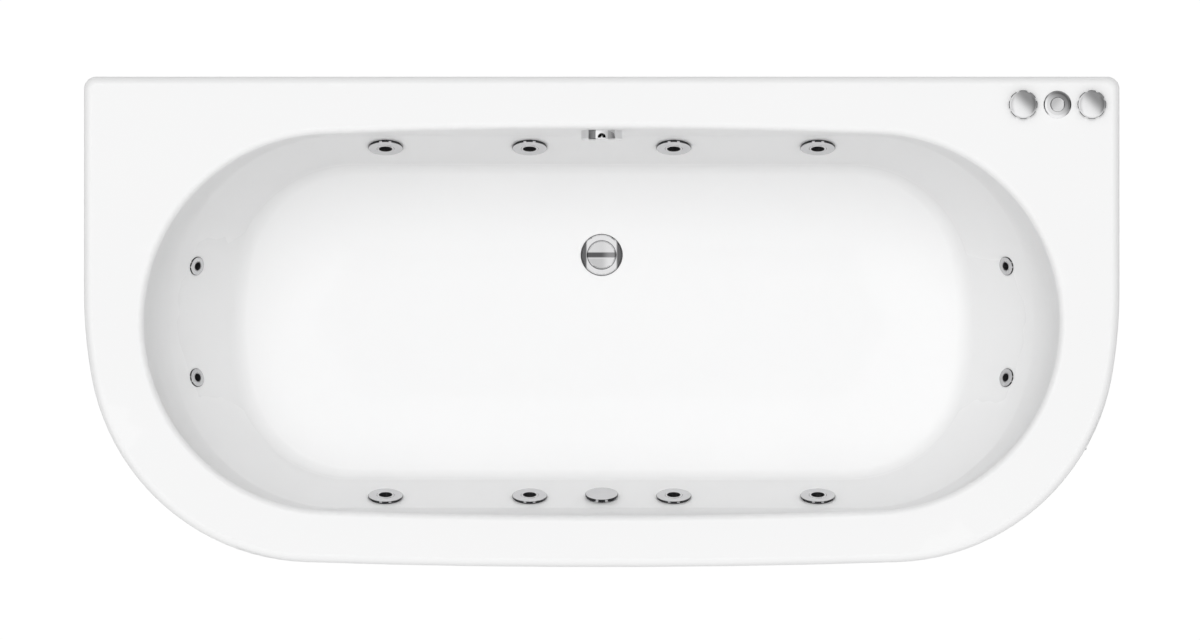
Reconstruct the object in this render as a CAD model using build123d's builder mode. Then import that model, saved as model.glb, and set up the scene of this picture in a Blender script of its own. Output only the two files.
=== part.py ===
from build123d import *
from math import asin, atan2, cos, degrees, radians, sin, sqrt, tan
import os

# Jetted bathtub, in millimetres. It stands on Z = 0 with its centre over the origin.
# The wall side, with the overflow and the controls, faces +Y. The pump end faces +X.

# Rim: straight at the back and sides, then three arcs a side round the front
LENGTH = 1700
WIDTH = 805
RIM_HEIGHT = 580
RIM_DROP = 42
SHELL = 6
RIM_ROUND = 14
BACK_CORNER = 20
CURVE_START = 47.5
FRONT_BOW = 14570
FRONT_CORNER = 370
FRONT_END = 769

# Basin: its opening in the rim, then how the walls lean in on the way down
END_LEDGE = 99
SIDE_LEDGE = 85.5
OPENING_ROUND = 12
OPENING_CROWN = 8.6
OPENING_SAG = 12
OPENING_FLATTENING = 10
OPENING_SPLIT = 16.3
DEPTH = 400
DRAFT = 1.5
SIDE_SLOPE = 21.5
END_SLOPE = 42
COVE = 25
DISH_SLOPE = 83
DISH_RISE = 7.5
FLOOR_CORNER = 175
FLOOR_SPLIT = 11.8
END_BEND_TURNS = 4
SIDE_BEND_TURNS = 2
COVE_TURNS = 6
DISH_TURNS = 3

# Jets: where their axes meet the walls
JET_DEPTH = 308
JET_INSET_SIDE = 24
JET_INSET_END = 66
SIDE_FLAT = 36
END_FLAT = 16
SEAT_SINK = 0.6
WASTE_SINK = 1.5
JET_PITCH = 240
END_JET_OFFSET = 93
OUTER_SEAT = 5.4
SEAL = 3
WALL_FIT = 0.3
TURN_GAP = 0.3

# Large wall jets
LARGE_HOLE = 24.5
LARGE_FLANGE = 27
LARGE_FLANGE_THICKNESS = 2.2
LARGE_SLEEVE_BORE = 21.1
LARGE_SLEEVE_DEPTH = 34
RING_RADIUS = 29.3
RING_LIFT = 0.4
RING_THICKNESS = 2.4
RING_SKIRT_DEPTH = 14
RING_BEVEL = 1
BALL = 17.5
BALL_BAND = 20
BALL_DEPTH = 5
BALL_FRONT = 10.5
BALL_BACK = 12
LARGE_BORE = 11
LARGE_CLAMP = 33
LARGE_CLAMP_THICKNESS = 4
BARREL_WALL = 4.5
BARREL_LEDGE = 4
BARREL_GAP = 0.5
CHAMBER = 27
CHAMBER_WALL = 4
CHAMBER_END = 80
CHAMBER_BEVEL = 4

# Small end jets
SMALL_HOLE = 12.8
SMALL_FLANGE = 15.5
SMALL_FLANGE_THICKNESS = 3
SMALL_FLANGE_BEVEL = 1
SMALL_SEAT_MARGIN = 1
SMALL_BALL = 10.5
SMALL_BALL_DEPTH = 4
SMALL_BALL_FRONT = 7
SMALL_BALL_BACK = 7.5
SMALL_BORE = 6.8
SMALL_SLEEVE_DEPTH = 14
SMALL_CLAMP = 19
SMALL_CLAMP_THICKNESS = 3
SMALL_BARREL = 16.5

# Water main and air rail behind the jets
MAIN = 16
PIPE_WALL = 2.5
MAIN_DEPTH = 58
MAIN_CORNER = 265
SOCKET_WALL = 3
LARGE_SOCKET = 47
SMALL_SOCKET = 24
PORT_CAP = 4
AIR_PIPE = 10
AIR_CORNER = 290
AIR_RISE = 42
AIR_DEPTH = 40
AIR_BOSS = 8
AIR_SOCKET = 12
AIR_HOSE = 8
AIR_HOSE_TURNS = (45, 25)
AIR_HOSE_TOP = 430
AIR_HOSE_FOOT = 350
AIR_HOSE_BEND = 40

# Suction
SUCTION_HOLE = 22
SUCTION_FLANGE = 25.5
SUCTION_FLANGE_THICKNESS = 1.5
SUCTION_COVER = 27.5
SUCTION_COVER_THICKNESS = 2.5
SUCTION_COVER_LIFT = 5
SUCTION_COVER_BEVEL = 1
SUCTION_SKIRT = 24
SUCTION_SKIRT_WALL = 2
SUCTION_SLOTS = 8
SUCTION_SLOT_WIDTH = 12
SUCTION_SLOT_SILL = 1.5
SUCTION_CHAMBER = 28
SUCTION_REACH = 45
SUCTION_PIPE = 25
SUCTION_ELBOW = 40
SUCTION_BEND = 225
SUCTION_DROP = 42
SUCTION_BACK = 28

# Pump and motor, with their axis along Y
PUMP_HEIGHT = 170
PUMP_BRANCH = -35
VOLUTE_START = 44
VOLUTE_GROWTH = 8
VOLUTE_LENGTH = 50
VOLUTE_WALL = 5
VOLUTE_PORT = 18
VOLUTE_PORT_TOP = 46
VOLUTE_THROAT = 30
VOLUTE_BORE = 13
INLET_NOZZLE = 28
INLET_LENGTH = 30
INLET_BORE = 20
IMPELLER = 34
BLADES = 6
BLADE_THICKNESS = 3
BLADE_HEIGHT = 12
DISC_THICKNESS = 4
IMPELLER_GAP = 2
SHAFT = 6
SHAFT_FIT = 0.05
MOTOR_FIN = 58
MOTOR_CORE = 50
MOTOR_FINS = 24
FIN_THICKNESS = 3
FIN_ROOT = 4
MOTOR_LENGTH = 110
BRACKET = 55
BRACKET_LENGTH = 14
REAR_PLATE = 8
COWL = 56
COWL_LENGTH = 52
COWL_WALL = 2
COWL_SLOTS = 12
COWL_SLOT_WIDTH = 5
COWL_RIM = 3
FAN = 44
FAN_BLADES = 7
FAN_LENGTH = 18
FAN_HUB = 15
FAN_GAP = 8
CRADLE_THICKNESS = 16
CRADLE_WIDTH = 84
CRADLE_HEIGHT = 28
CRADLE_Y = (25, 95)
CRADLE_FIT = 0.2
BOX_LENGTH = 70
BOX_WIDTH = 60
BOX_HEIGHT = 30
BOX_Y = 65
BOX_RISE = 2
BOX_PAD_INSET = 5
BOX_CORNER = 6
BOX_BEVEL = 2
GLAND = 9
GLAND_LENGTH = 18
GLAND_NUT_WALL = 2
GLAND_BORE = 3
NUT_WALL = 6
NUT_LENGTH = 18

# Rim controls
CONTROL_EDGE = 46
CONTROL_PITCH = 56.3
CONTROL_HOLE = 15.5
KNOB = 23.4
KNOB_EDGE = 9
KNOB_HEIGHT = 15
KNOB_LIFT = 0.6
KNOB_BEVEL = 1
KNOB_WALL = 2.5
KNOB_GRIPS = 8
KNOB_GRIP = 3.2
CONTROL_FLANGE = 19
CONTROL_FLANGE_THICKNESS = 2
SPINDLE = 4
SPINDLE_HEIGHT = 11
SPINDLE_GAP = 1
KNOB_HUB = 8
SHANK_LENGTH = 40
BARB = 8
BARB_LENGTH = 30
LOCK_NUT = 21
LOCK_NUT_THICKNESS = 9
BEZEL = 22.7
BEZEL_EDGE = 3
BEZEL_STEP = 17.5
BEZEL_HEIGHT = 5
BEZEL_LIP = 1
BEZEL_BEVEL = 2
BUTTON = 11.5
BUTTON_PROUD = 2.5
BUTTON_BEVEL = 1
BUTTON_LENGTH = 26
BUTTON_WELL = 34
BUTTON_BARB = 3
BUTTON_BARB_LENGTH = 6

# Waste and trap
WASTE_Y = 112
WASTE_FLANGE = 35
WASTE_FLANGE_THICKNESS = 4
WASTE_FLANGE_BEVEL = 3
WASTE_SLEEVE = 24
WASTE_BORE = 21
WASTE_SLEEVE_DEPTH = 30
PLUG = 23.5
PLUG_TOP = 5
PLUG_BEVEL = 2
PLUG_BEVEL_DROP = 1
PLUG_CROWN = 0.5
PLUG_GAP = 0.4
STEM = 4
STEM_LENGTH = 26
HUB = 9
HUB_TOP = 8
HUB_HEIGHT = 5
SPOKES = 4
SPOKE_WIDTH = 4
WASTE_COLLAR = 34
WASTE_COLLAR_THICKNESS = 4
WASTE_SEAL = 2
WASTE_CUP = 31
WASTE_CUP_BOTTOM = 118
OVERFLOW_LEVEL = 136
TRAP_TOP = 88
TRAP_BOTTOM = 18
TRAP = 35
TRAP_WALL = 3
TAIL = 18
OUTLET = 20
OUTLET_BOSS = 23
OUTLET_BOSS_LENGTH = 24
OUTLET_LEVEL = 60

# Overflow
OVERFLOW_DEPTH = 75
OVERFLOW_COVER = 34
OVERFLOW_COVER_DEPTH = 16
OVERFLOW_COVER_BEVEL = 1.5
OVERFLOW_NOTCH_WIDTH = 13
OVERFLOW_NOTCH_DEPTH = 10
OVERFLOW_NOTCH_DROP = 14
OVERFLOW_COVER_WALL = 3
OVERFLOW_HOLE = 22
OVERFLOW_CHAMBER = 28
OVERFLOW_CHAMBER_DEPTH = 48
OVERFLOW_COLLAR_THICKNESS = 3
OVERFLOW_PORT_REACH = 37
OVERFLOW_PORT_DROP = 40
OVERFLOW_INLET = 44
OVERFLOW_PORT_BORE = 10
OVERFLOW_PIPE = 13
OVERFLOW_PIPE_BACK_GAP = 18.5
OVERFLOW_PIPE_SHIFT = (430, 340)
OVERFLOW_PIPE_BENDS = (60, 60, 70)

# Frame below the rim
RAIL = 30
RAIL_WALL = 2.5
RAIL_Y = 200
RAIL_LEVEL = 86
RAIL_LEFT = 720
RAIL_RIGHT = 785
BEARER_X = (440, 150)
BEARER_WIDTH = 30
BOARD = 18
BOARD_LENGTH = 1040
BOARD_WIDTH = 430
BOARD_HOLE = 40
POST_X = 440
POST = 25
POST_GAP = 0.3
RIM_TIMBER_INSET = 14
RIM_TIMBER_WIDTH = 36
CONTROL_NOTCH = 26
PUMP_CROSS_X = (700, 800)
PUMP_BOARD_BACK = 183
PUMP_BOARD_FRONT = -72
PUMP_BOARD_WIDTH = 130
PUMP_BOARD_THICKNESS = 12
PUMP_BOARD_CORNER = 8
FOOT_X = (-640, -200, 200, 640)
FOOT_ROD = 6
FOOT_PAD = 25
FOOT_PAD_HEIGHT = 10
FOOT_PAD_TAPER = 15
FOOT_NUT = 9.5
FOOT_NUT_HEIGHT = 10
FOOT_ROD_TOP = 136
FOOT_BOSS = 10
FOOT_BOSS_TOP = 18
FOOT_SOCKET = 8
THREAD_GAP = 0.1


def sind(angle):
    return sin(radians(angle))


def cosd(angle):
    return cos(radians(angle))


def tand(angle):
    return tan(radians(angle))


# Outlines of the rim and of the basin

def quarter(half_length, half_width, bow, corner, end):
    """Joints of a quarter outline: side to corner arc, the arc's middle, corner arc to end arc.

    The side has the radius bow, or is straight where bow is 0.
    """
    end_centre = Vector(half_length - end, 0)
    end_gap = end - corner
    if bow:
        side_centre = Vector(0, half_width - bow)
        between = end_centre - side_centre
        along = ((bow - corner) ** 2 - end_gap ** 2 + between.length ** 2) / (2 * between.length)
        aside = sqrt((bow - corner) ** 2 - along ** 2)
        forward = between.normalized()
        corner_centre = side_centre + forward * along + Vector(forward.Y, -forward.X) * aside
        to_side = (corner_centre - side_centre).normalized()
    else:
        rise = half_width - corner
        corner_centre = end_centre + Vector(sqrt(end_gap ** 2 - rise ** 2), rise)
        to_side = Vector(0, 1)
    to_end = (corner_centre - end_centre).normalized()
    middle = corner_centre + (to_side + to_end).normalized() * corner
    return corner_centre + to_side * corner, middle, corner_centre + to_end * corner


def basin_outline(half_length, half_width, bow, corner, end):
    """Closed outline of the basin at one height, the same in all four quarters."""
    side, middle, tip = quarter(half_length, half_width, bow, corner, end)
    with BuildSketch() as outline:
        with BuildLine():
            if bow:
                ThreePointArc((-side.X, side.Y), (0, half_width), (side.X, side.Y))
                ThreePointArc((side.X, -side.Y), (0, -half_width), (-side.X, -side.Y))
            else:
                Line((-side.X, side.Y), (side.X, side.Y))
                Line((side.X, -side.Y), (-side.X, -side.Y))
            ThreePointArc((side.X, side.Y), (middle.X, middle.Y), (tip.X, tip.Y))
            ThreePointArc((tip.X, tip.Y), (half_length, 0), (tip.X, -tip.Y))
            ThreePointArc((tip.X, -tip.Y), (middle.X, -middle.Y), (side.X, -side.Y))
            ThreePointArc((-side.X, -side.Y), (-middle.X, -middle.Y), (-tip.X, -tip.Y))
            ThreePointArc((-tip.X, -tip.Y), (-half_length, 0), (-tip.X, tip.Y))
            ThreePointArc((-tip.X, tip.Y), (-middle.X, middle.Y), (-side.X, side.Y))
        make_face()
    return outline.sketch


def rim_outline(inset):
    """The D-shaped outline of the rim, drawn in by inset all round."""
    half_length = LENGTH / 2 - inset
    back = WIDTH / 2 - inset
    front_depth = WIDTH / 2 + CURVE_START - inset
    front = CURVE_START - front_depth
    side, middle, tip = quarter(
        half_length, front_depth, FRONT_BOW - inset, FRONT_CORNER - inset, FRONT_END - inset)
    side_y, middle_y, tip_y = (CURVE_START - joint.Y for joint in (side, middle, tip))
    with BuildSketch() as outline:
        with BuildLine():
            Polyline((half_length, CURVE_START), (half_length, back), (-half_length, back),
                     (-half_length, CURVE_START))
            TangentArc((-half_length, CURVE_START), (-tip.X, tip_y), tangent=(0, -1))
            ThreePointArc((-tip.X, tip_y), (-middle.X, middle_y), (-side.X, side_y))
            ThreePointArc((-side.X, side_y), (0, front), (side.X, side_y))
            ThreePointArc((side.X, side_y), (middle.X, middle_y), (tip.X, tip_y))
            TangentArc((half_length, CURVE_START), (tip.X, tip_y), tangent=(0, -1))
        make_face()
        fillet(outline.vertices().group_by(Axis.Y)[-1], max(BACK_CORNER - inset, 2))
    return outline.sketch


# Wall profiles: each bend is (centre in from the opening, centre down, radius, slope above, slope below)

def wall_bends(jet_inset, flat, slope, cove):
    """The three bends of a wall: above the jets' flat, at the foot of the wall, and the dished floor."""
    flat_top = JET_DEPTH - flat
    flat_in = jet_inset - flat * tand(slope)
    rise = sind(slope) - sind(DRAFT)
    run = cosd(DRAFT) - cosd(slope)
    radius = (flat_in - flat_top * tand(DRAFT)) / (run - rise * tand(DRAFT))
    upper = (flat_in + radius * cosd(slope), flat_top - radius * sind(slope), radius, DRAFT, slope)
    cove_down = DEPTH - DISH_RISE - cove * sind(DISH_SLOPE)
    foot = cove_down + cove * sind(slope)
    cove_in = jet_inset + (foot - JET_DEPTH) * tand(slope) + cove * cosd(slope)
    dish = DISH_RISE / (1 - sind(DISH_SLOPE))
    dish_in = cove_in - cove * cosd(DISH_SLOPE) + dish * cosd(DISH_SLOPE)
    middle = (cove_in, cove_down, cove, slope, DISH_SLOPE)
    return upper, middle, (dish_in, DEPTH - dish, dish, DISH_SLOPE, 90)


def inset_at(bends, depth, proud):
    """How far in a wall lies at a depth; proud measures outwards, through the shell."""
    for centre_in, centre_down, radius, above, below in bends:
        reach = radius + proud
        top = centre_down + reach * sind(above)
        if depth < top:
            return centre_in - reach * cosd(above) - (top - depth) * tand(above)
        if depth < centre_down + reach * sind(below):
            return centre_in - sqrt(reach ** 2 - (depth - centre_down) ** 2)
    return centre_in


END_COVE = COVE * (sind(DISH_SLOPE) - sind(SIDE_SLOPE)) / (sind(DISH_SLOPE) - sind(END_SLOPE))
SIDE_BENDS = wall_bends(JET_INSET_SIDE, SIDE_FLAT, SIDE_SLOPE, COVE)
END_BENDS = wall_bends(JET_INSET_END, END_FLAT, END_SLOPE, END_COVE)
FLOOR_EDGE = inset_at(END_BENDS, DEPTH - DISH_RISE, 0)


def basin_sizes(depth, proud=0):
    """Half length, half width, bow, corner and end radius of the basin at a depth.

    The arcs meet at a split angle that hardly changes, so the walls between two sections stay smooth.
    """
    end_in = inset_at(END_BENDS, depth, proud)
    half_width = WIDTH / 2 - SIDE_LEDGE - inset_at(SIDE_BENDS, depth, proud)
    opening_corner = WIDTH / 2 - SIDE_LEDGE - OPENING_SAG
    blend = min(max((end_in + proud) / FLOOR_EDGE, 0), 1)
    past_edge = max(end_in - FLOOR_EDGE, 0)
    corner = opening_corner + (FLOOR_CORNER - opening_corner) * blend - past_edge + proud
    split = OPENING_SPLIT + (FLOOR_SPLIT - OPENING_SPLIT) * blend
    bow, end = 0, corner + (half_width - corner) / sind(split)
    if depth <= proud:
        end = corner + OPENING_FLATTENING
        reach = LENGTH / 2 - END_LEDGE - end_in - end
        bow = (reach ** 2 + OPENING_CROWN ** 2) / (2 * OPENING_CROWN)
    return LENGTH / 2 - END_LEDGE - end_in, half_width, bow, corner, end


def basin_depths(proud):
    """Depths of the sections: the rim, then even turns round each bend."""
    bends = [(END_BENDS[0], END_BEND_TURNS), (SIDE_BENDS[0], SIDE_BEND_TURNS),
             (SIDE_BENDS[1], COVE_TURNS), (SIDE_BENDS[2], DISH_TURNS)]
    depths = {proud / 2}
    for (centre_in, centre_down, radius, above, below), turns in bends:
        for turn in range(turns + 1):
            angle = above + (below - above) * turn / turns
            depths.add(round(centre_down + (radius + proud) * sind(angle), 3))
    return sorted(depths)


# Bath shell: rim with its turned-down lip, basin, and a flat seat and a hole for each fitting

def wall_seat(turn, slope, x, y, depth):
    """Plane on a wall that faces out at turn: z points into the basin, y up the wall, x along it."""
    outward = Vector(cosd(turn), sind(turn), 0)
    normal = Vector(0, 0, sind(slope)) - outward * cosd(slope)
    return Plane(origin=(x, y, RIM_HEIGHT - depth), x_dir=(sind(turn), -cosd(turn), 0), z_dir=normal)


JET_HALF_LENGTH, JET_HALF_WIDTH = basin_sizes(JET_DEPTH)[:2]
JET_END = basin_sizes(JET_DEPTH)[4]
END_CENTRE = JET_HALF_LENGTH - JET_END
END_TURN = degrees(asin(END_JET_OFFSET / JET_END))
END_JET_X = END_CENTRE + JET_END * cosd(END_TURN)
JET_X = [step * JET_PITCH for step in (-1.5, -0.5, 0.5, 1.5)]
BACK_SEATS = [wall_seat(90, SIDE_SLOPE, x, JET_HALF_WIDTH, JET_DEPTH) for x in JET_X]
FRONT_SEATS = [wall_seat(-90, SIDE_SLOPE, x, -JET_HALF_WIDTH, JET_DEPTH) for x in JET_X]
LARGE_SEATS = BACK_SEATS + FRONT_SEATS
SMALL_SEATS = [
    wall_seat(180 - END_TURN, END_SLOPE, -END_JET_X, END_JET_OFFSET, JET_DEPTH).offset(-SEAT_SINK),
    wall_seat(180 + END_TURN, END_SLOPE, -END_JET_X, -END_JET_OFFSET, JET_DEPTH).offset(-SEAT_SINK),
    wall_seat(END_TURN, END_SLOPE, END_JET_X, END_JET_OFFSET, JET_DEPTH).offset(-SEAT_SINK),
    wall_seat(-END_TURN, END_SLOPE, END_JET_X, -END_JET_OFFSET, JET_DEPTH).offset(-SEAT_SINK),
]
SUCTION_SEAT = wall_seat(-90, SIDE_SLOPE, 0, -JET_HALF_WIDTH, JET_DEPTH)
OVERFLOW_Y = basin_sizes(OVERFLOW_DEPTH)[1]
OVERFLOW_SEAT = wall_seat(90, DRAFT, 0, OVERFLOW_Y, OVERFLOW_DEPTH).offset(-SEAT_SINK)
FLOOR = RIM_HEIGHT - DEPTH
UNDERSIDE = FLOOR - SHELL
WASTE_SEAT = FLOOR - WASTE_SINK
CONTROL_Y = WIDTH / 2 - CONTROL_EDGE
RIGHT_CONTROL_X = LENGTH / 2 - CONTROL_EDGE
BUTTON_X = RIGHT_CONTROL_X - CONTROL_PITCH
LEFT_CONTROL_X = BUTTON_X - CONTROL_PITCH
CONTROLS = [(x, CONTROL_Y) for x in (LEFT_CONTROL_X, BUTTON_X, RIGHT_CONTROL_X)]
SEAT_CUT = 12


def seat_cuts(front, back, hole):
    """What a fitting in a curved wall needs cut: a flat before the wall, one behind it, and the hole."""
    with BuildPart() as cuts:
        with BuildSketch():
            Circle(front)
        extrude(amount=SEAT_CUT)
        with BuildSketch(Plane.XY.offset(SEAT_SINK - OUTER_SEAT)):
            Circle(back)
        extrude(amount=-SEAT_CUT)
        with BuildSketch(Plane.XY.offset(SEAT_SINK - OUTER_SEAT)):
            Circle(hole)
        extrude(amount=OUTER_SEAT - SEAT_SINK)
    return cuts.part


with BuildPart() as bath_shell:
    with BuildSketch(Plane.XY.offset(RIM_HEIGHT - RIM_DROP)):
        add(rim_outline(0))
    extrude(amount=RIM_DROP)
    fillet(bath_shell.faces().sort_by(Axis.Z)[-1].outer_wire().edges(), RIM_ROUND)
    with BuildSketch(Plane.XY.offset(RIM_HEIGHT - RIM_DROP)):
        add(rim_outline(SHELL))
    extrude(amount=RIM_DROP - SHELL, mode=Mode.SUBTRACT)
    pocket = bath_shell.faces().filter_by(Axis.Z).sort_by(Axis.Z)[-2]
    fillet(pocket.outer_wire().edges(), RIM_ROUND - SHELL)
    for depth in basin_depths(SHELL):
        with BuildSketch(Plane.XY.offset(RIM_HEIGHT - depth)):
            add(basin_outline(*basin_sizes(depth, SHELL)))
    loft(ruled=True)
    for depth in basin_depths(0):
        with BuildSketch(Plane.XY.offset(RIM_HEIGHT - depth)):
            add(basin_outline(*basin_sizes(depth)))
    loft(ruled=True, mode=Mode.SUBTRACT)
    fillet(bath_shell.faces().sort_by(Axis.Z)[-1].inner_wires()[0].edges(), OPENING_ROUND)
    with Locations(*LARGE_SEATS):
        Cylinder(LARGE_HOLE, 3 * SHELL, mode=Mode.SUBTRACT)
    with Locations(SUCTION_SEAT):
        Cylinder(SUCTION_HOLE, 3 * SHELL, mode=Mode.SUBTRACT)
    with Locations(*SMALL_SEATS):
        add(seat_cuts(SMALL_FLANGE + SMALL_SEAT_MARGIN, SMALL_CLAMP + SMALL_SEAT_MARGIN, SMALL_HOLE),
            mode=Mode.SUBTRACT)
    with Locations(OVERFLOW_SEAT):
        add(seat_cuts(OVERFLOW_COVER, OVERFLOW_COVER, OVERFLOW_HOLE), mode=Mode.SUBTRACT)
    with Locations((0, WASTE_Y, WASTE_SEAT)):
        Cylinder(WASTE_FLANGE + WALL_FIT, SEAT_CUT, align=(Align.CENTER, Align.CENTER, Align.MIN),
                 mode=Mode.SUBTRACT)
        Cylinder(WASTE_SLEEVE + WALL_FIT, 3 * SHELL, mode=Mode.SUBTRACT)
    with Locations(*[(x, y, RIM_HEIGHT) for x, y in CONTROLS]):
        Cylinder(CONTROL_HOLE, 3 * SHELL, mode=Mode.SUBTRACT)

bath_shell.part.label = "bath_shell"
os.makedirs("parts", exist_ok=True)
export_step(bath_shell.part, "parts/bath_shell.step")


# Large wall jets, each made at the origin with Z along its axis, then copied to the seats

def ball(radius, depth, front, back, bore):
    """Bored nozzle, its centre below the seat: round where it bears, then tapered to both flat ends."""
    band = radius * sind(BALL_BAND)
    band_edge = radius * cosd(BALL_BAND)
    with BuildPart() as nozzle:
        with BuildSketch(Plane.XZ):
            with BuildLine():
                ThreePointArc((band_edge, -depth - band), (radius, -depth), (band_edge, band - depth))
                Polyline((band_edge, band - depth), (sqrt(radius ** 2 - front ** 2), front - depth),
                         (bore, front - depth), (bore, -depth - back),
                         (sqrt(radius ** 2 - back ** 2), -depth - back), (band_edge, -depth - band))
            make_face()
        revolve(axis=Axis.Z)
    return nozzle.part


def socket_points(reach, depth, front, back):
    """Bore that holds a ball, back to front: a plain middle that a lip closes in at each end."""
    back_turn = reach * tan(asin((depth - back) / reach) / 2)
    front_turn = reach * tan(asin((front + depth) / reach) / 2)
    return [(sqrt(reach ** 2 - (back - depth) ** 2), -back), (reach, back_turn - depth),
            (reach, front_turn - depth), (sqrt(reach ** 2 - (front + depth) ** 2), front)]


SEAT_BALL = BALL + TURN_GAP
RING_BACK = LARGE_FLANGE_THICKNESS + RING_LIFT
RING_FRONT = RING_BACK + RING_THICKNESS
RING_SKIRT = LARGE_SLEEVE_BORE - TURN_GAP
CLAMP_FACE = -OUTER_SEAT - SEAL
LARGE_CLAMP_FACE = -SHELL - SEAL
LARGE_SLEEVE = LARGE_HOLE - WALL_FIT
BARREL = LARGE_SLEEVE + WALL_FIT + BARREL_WALL
CHAMBER_START = -LARGE_SLEEVE_DEPTH - BARREL_GAP
SOCKET = MAIN + SOCKET_WALL

with BuildPart() as large_fitting:
    with BuildSketch(Plane.XZ):
        with BuildLine():
            Polyline((LARGE_SLEEVE_BORE, -LARGE_SLEEVE_DEPTH), (LARGE_SLEEVE, -LARGE_SLEEVE_DEPTH),
                     (LARGE_SLEEVE, 0), (LARGE_FLANGE, 0), (LARGE_FLANGE, LARGE_FLANGE_THICKNESS),
                     (LARGE_SLEEVE_BORE, LARGE_FLANGE_THICKNESS), close=True)
        make_face()
    revolve(axis=Axis.Z)

with BuildPart() as face_ring:
    with BuildSketch(Plane.XZ):
        with BuildLine():
            Polyline(*socket_points(SEAT_BALL, BALL_DEPTH, RING_FRONT, RING_SKIRT_DEPTH),
                     (RING_RADIUS - RING_BEVEL, RING_FRONT), (RING_RADIUS, RING_FRONT - RING_BEVEL),
                     (RING_RADIUS, RING_BACK), (RING_SKIRT, RING_BACK), (RING_SKIRT, -RING_SKIRT_DEPTH),
                     close=True)
        make_face()
    revolve(axis=Axis.Z)

for name, seats in (("back", BACK_SEATS), ("front", FRONT_SEATS)):
    for number, seat in enumerate(seats, 1):
        with BuildPart() as jet_ring:
            with Locations(seat):
                add(face_ring.part)
        jet_ring.part.label = f"jet_ring_{name}_{number}"
        export_step(jet_ring.part, f"parts/jet_ring_{name}_{number}.step")
        with BuildPart() as jet_nozzle:
            with Locations(seat):
                add(ball(BALL, BALL_DEPTH, BALL_FRONT, BALL_BACK, LARGE_BORE))
        jet_nozzle.part.label = f"jet_nozzle_{name}_{number}"
        export_step(jet_nozzle.part, f"parts/jet_nozzle_{name}_{number}.step")


# Small end jets

SMALL_SLEEVE = SMALL_HOLE - WALL_FIT
SMALL_SEAT_BALL = SMALL_BALL + TURN_GAP

with BuildPart() as small_fitting:
    with BuildSketch(Plane.XZ):
        with BuildLine():
            Polyline(*socket_points(SMALL_SEAT_BALL, SMALL_BALL_DEPTH, SMALL_FLANGE_THICKNESS,
                                    SMALL_SLEEVE_DEPTH),
                     (SMALL_FLANGE - SMALL_FLANGE_BEVEL, SMALL_FLANGE_THICKNESS),
                     (SMALL_FLANGE, SMALL_FLANGE_THICKNESS - SMALL_FLANGE_BEVEL), (SMALL_FLANGE, 0),
                     (SMALL_SLEEVE, 0), (SMALL_SLEEVE, -SMALL_SLEEVE_DEPTH), close=True)
        make_face()
    revolve(axis=Axis.Z)

for name, seat in zip(("left_back", "left_front", "right_back", "right_front"), SMALL_SEATS):
    with BuildPart() as end_nozzle:
        with Locations(seat):
            add(ball(SMALL_BALL, SMALL_BALL_DEPTH, SMALL_BALL_FRONT, SMALL_BALL_BACK, SMALL_BORE))
    end_nozzle.part.label = f"end_nozzle_{name}"
    export_step(end_nozzle.part, f"parts/end_nozzle_{name}.step")

with BuildPart() as jet_fittings:
    with Locations(*LARGE_SEATS):
        add(large_fitting.part)
    with Locations(*SMALL_SEATS):
        add(small_fitting.part)

jet_fittings.part.label = "jet_fittings"
export_step(jet_fittings.part, "parts/jet_fittings.step")

with BuildPart() as jet_seals:
    with Locations(*[seat.offset(-SHELL) for seat in LARGE_SEATS]):
        Cylinder(LARGE_CLAMP, SEAL, align=(Align.CENTER, Align.CENTER, Align.MAX))
        Cylinder(LARGE_HOLE, 3 * SEAL, mode=Mode.SUBTRACT)
    with Locations(*[seat.offset(SEAT_SINK - OUTER_SEAT) for seat in SMALL_SEATS]):
        Cylinder(SMALL_CLAMP, SEAL, align=(Align.CENTER, Align.CENTER, Align.MAX))
        Cylinder(SMALL_HOLE, 3 * SEAL, mode=Mode.SUBTRACT)


# Jet bodies: each clamps its fitting to the wall and tees into the water main and the air rail

END_REACH = MAIN_DEPTH * cosd(SIDE_SLOPE)
MAIN_LEVEL = RIM_HEIGHT - JET_DEPTH - MAIN_DEPTH * sind(SIDE_SLOPE)
MAIN_Y = JET_HALF_WIDTH + END_REACH
AIR_Y = JET_HALF_WIDTH + AIR_RISE * sind(SIDE_SLOPE) + AIR_DEPTH * cosd(SIDE_SLOPE)
AIR_LEVEL = RIM_HEIGHT - JET_DEPTH + AIR_RISE * cosd(SIDE_SLOPE) - AIR_DEPTH * sind(SIDE_SLOPE)
SMALL_SEAT_LEVEL = RIM_HEIGHT - JET_DEPTH - SEAT_SINK * sind(END_SLOPE)
SMALL_MAIN_DEPTH = (SMALL_SEAT_LEVEL - MAIN_LEVEL) / sind(END_SLOPE)
SMALL_AIR_RISE = (AIR_LEVEL - MAIN_LEVEL) / cosd(END_SLOPE)
MAIN_END = JET_END + (SEAT_SINK + SMALL_MAIN_DEPTH) * cosd(END_SLOPE)
AIR_END = MAIN_END + SMALL_AIR_RISE * sind(END_SLOPE)


def cross_tube(radius, length, rise, depth):
    """Short tube along the wall, in front of the seat plane by -depth and up the wall by rise."""
    with BuildPart() as tube:
        with BuildSketch(Plane.YZ.offset(-length)):
            with Locations((rise, -depth)):
                Circle(radius)
        extrude(amount=2 * length)
    return tube.part


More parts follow.
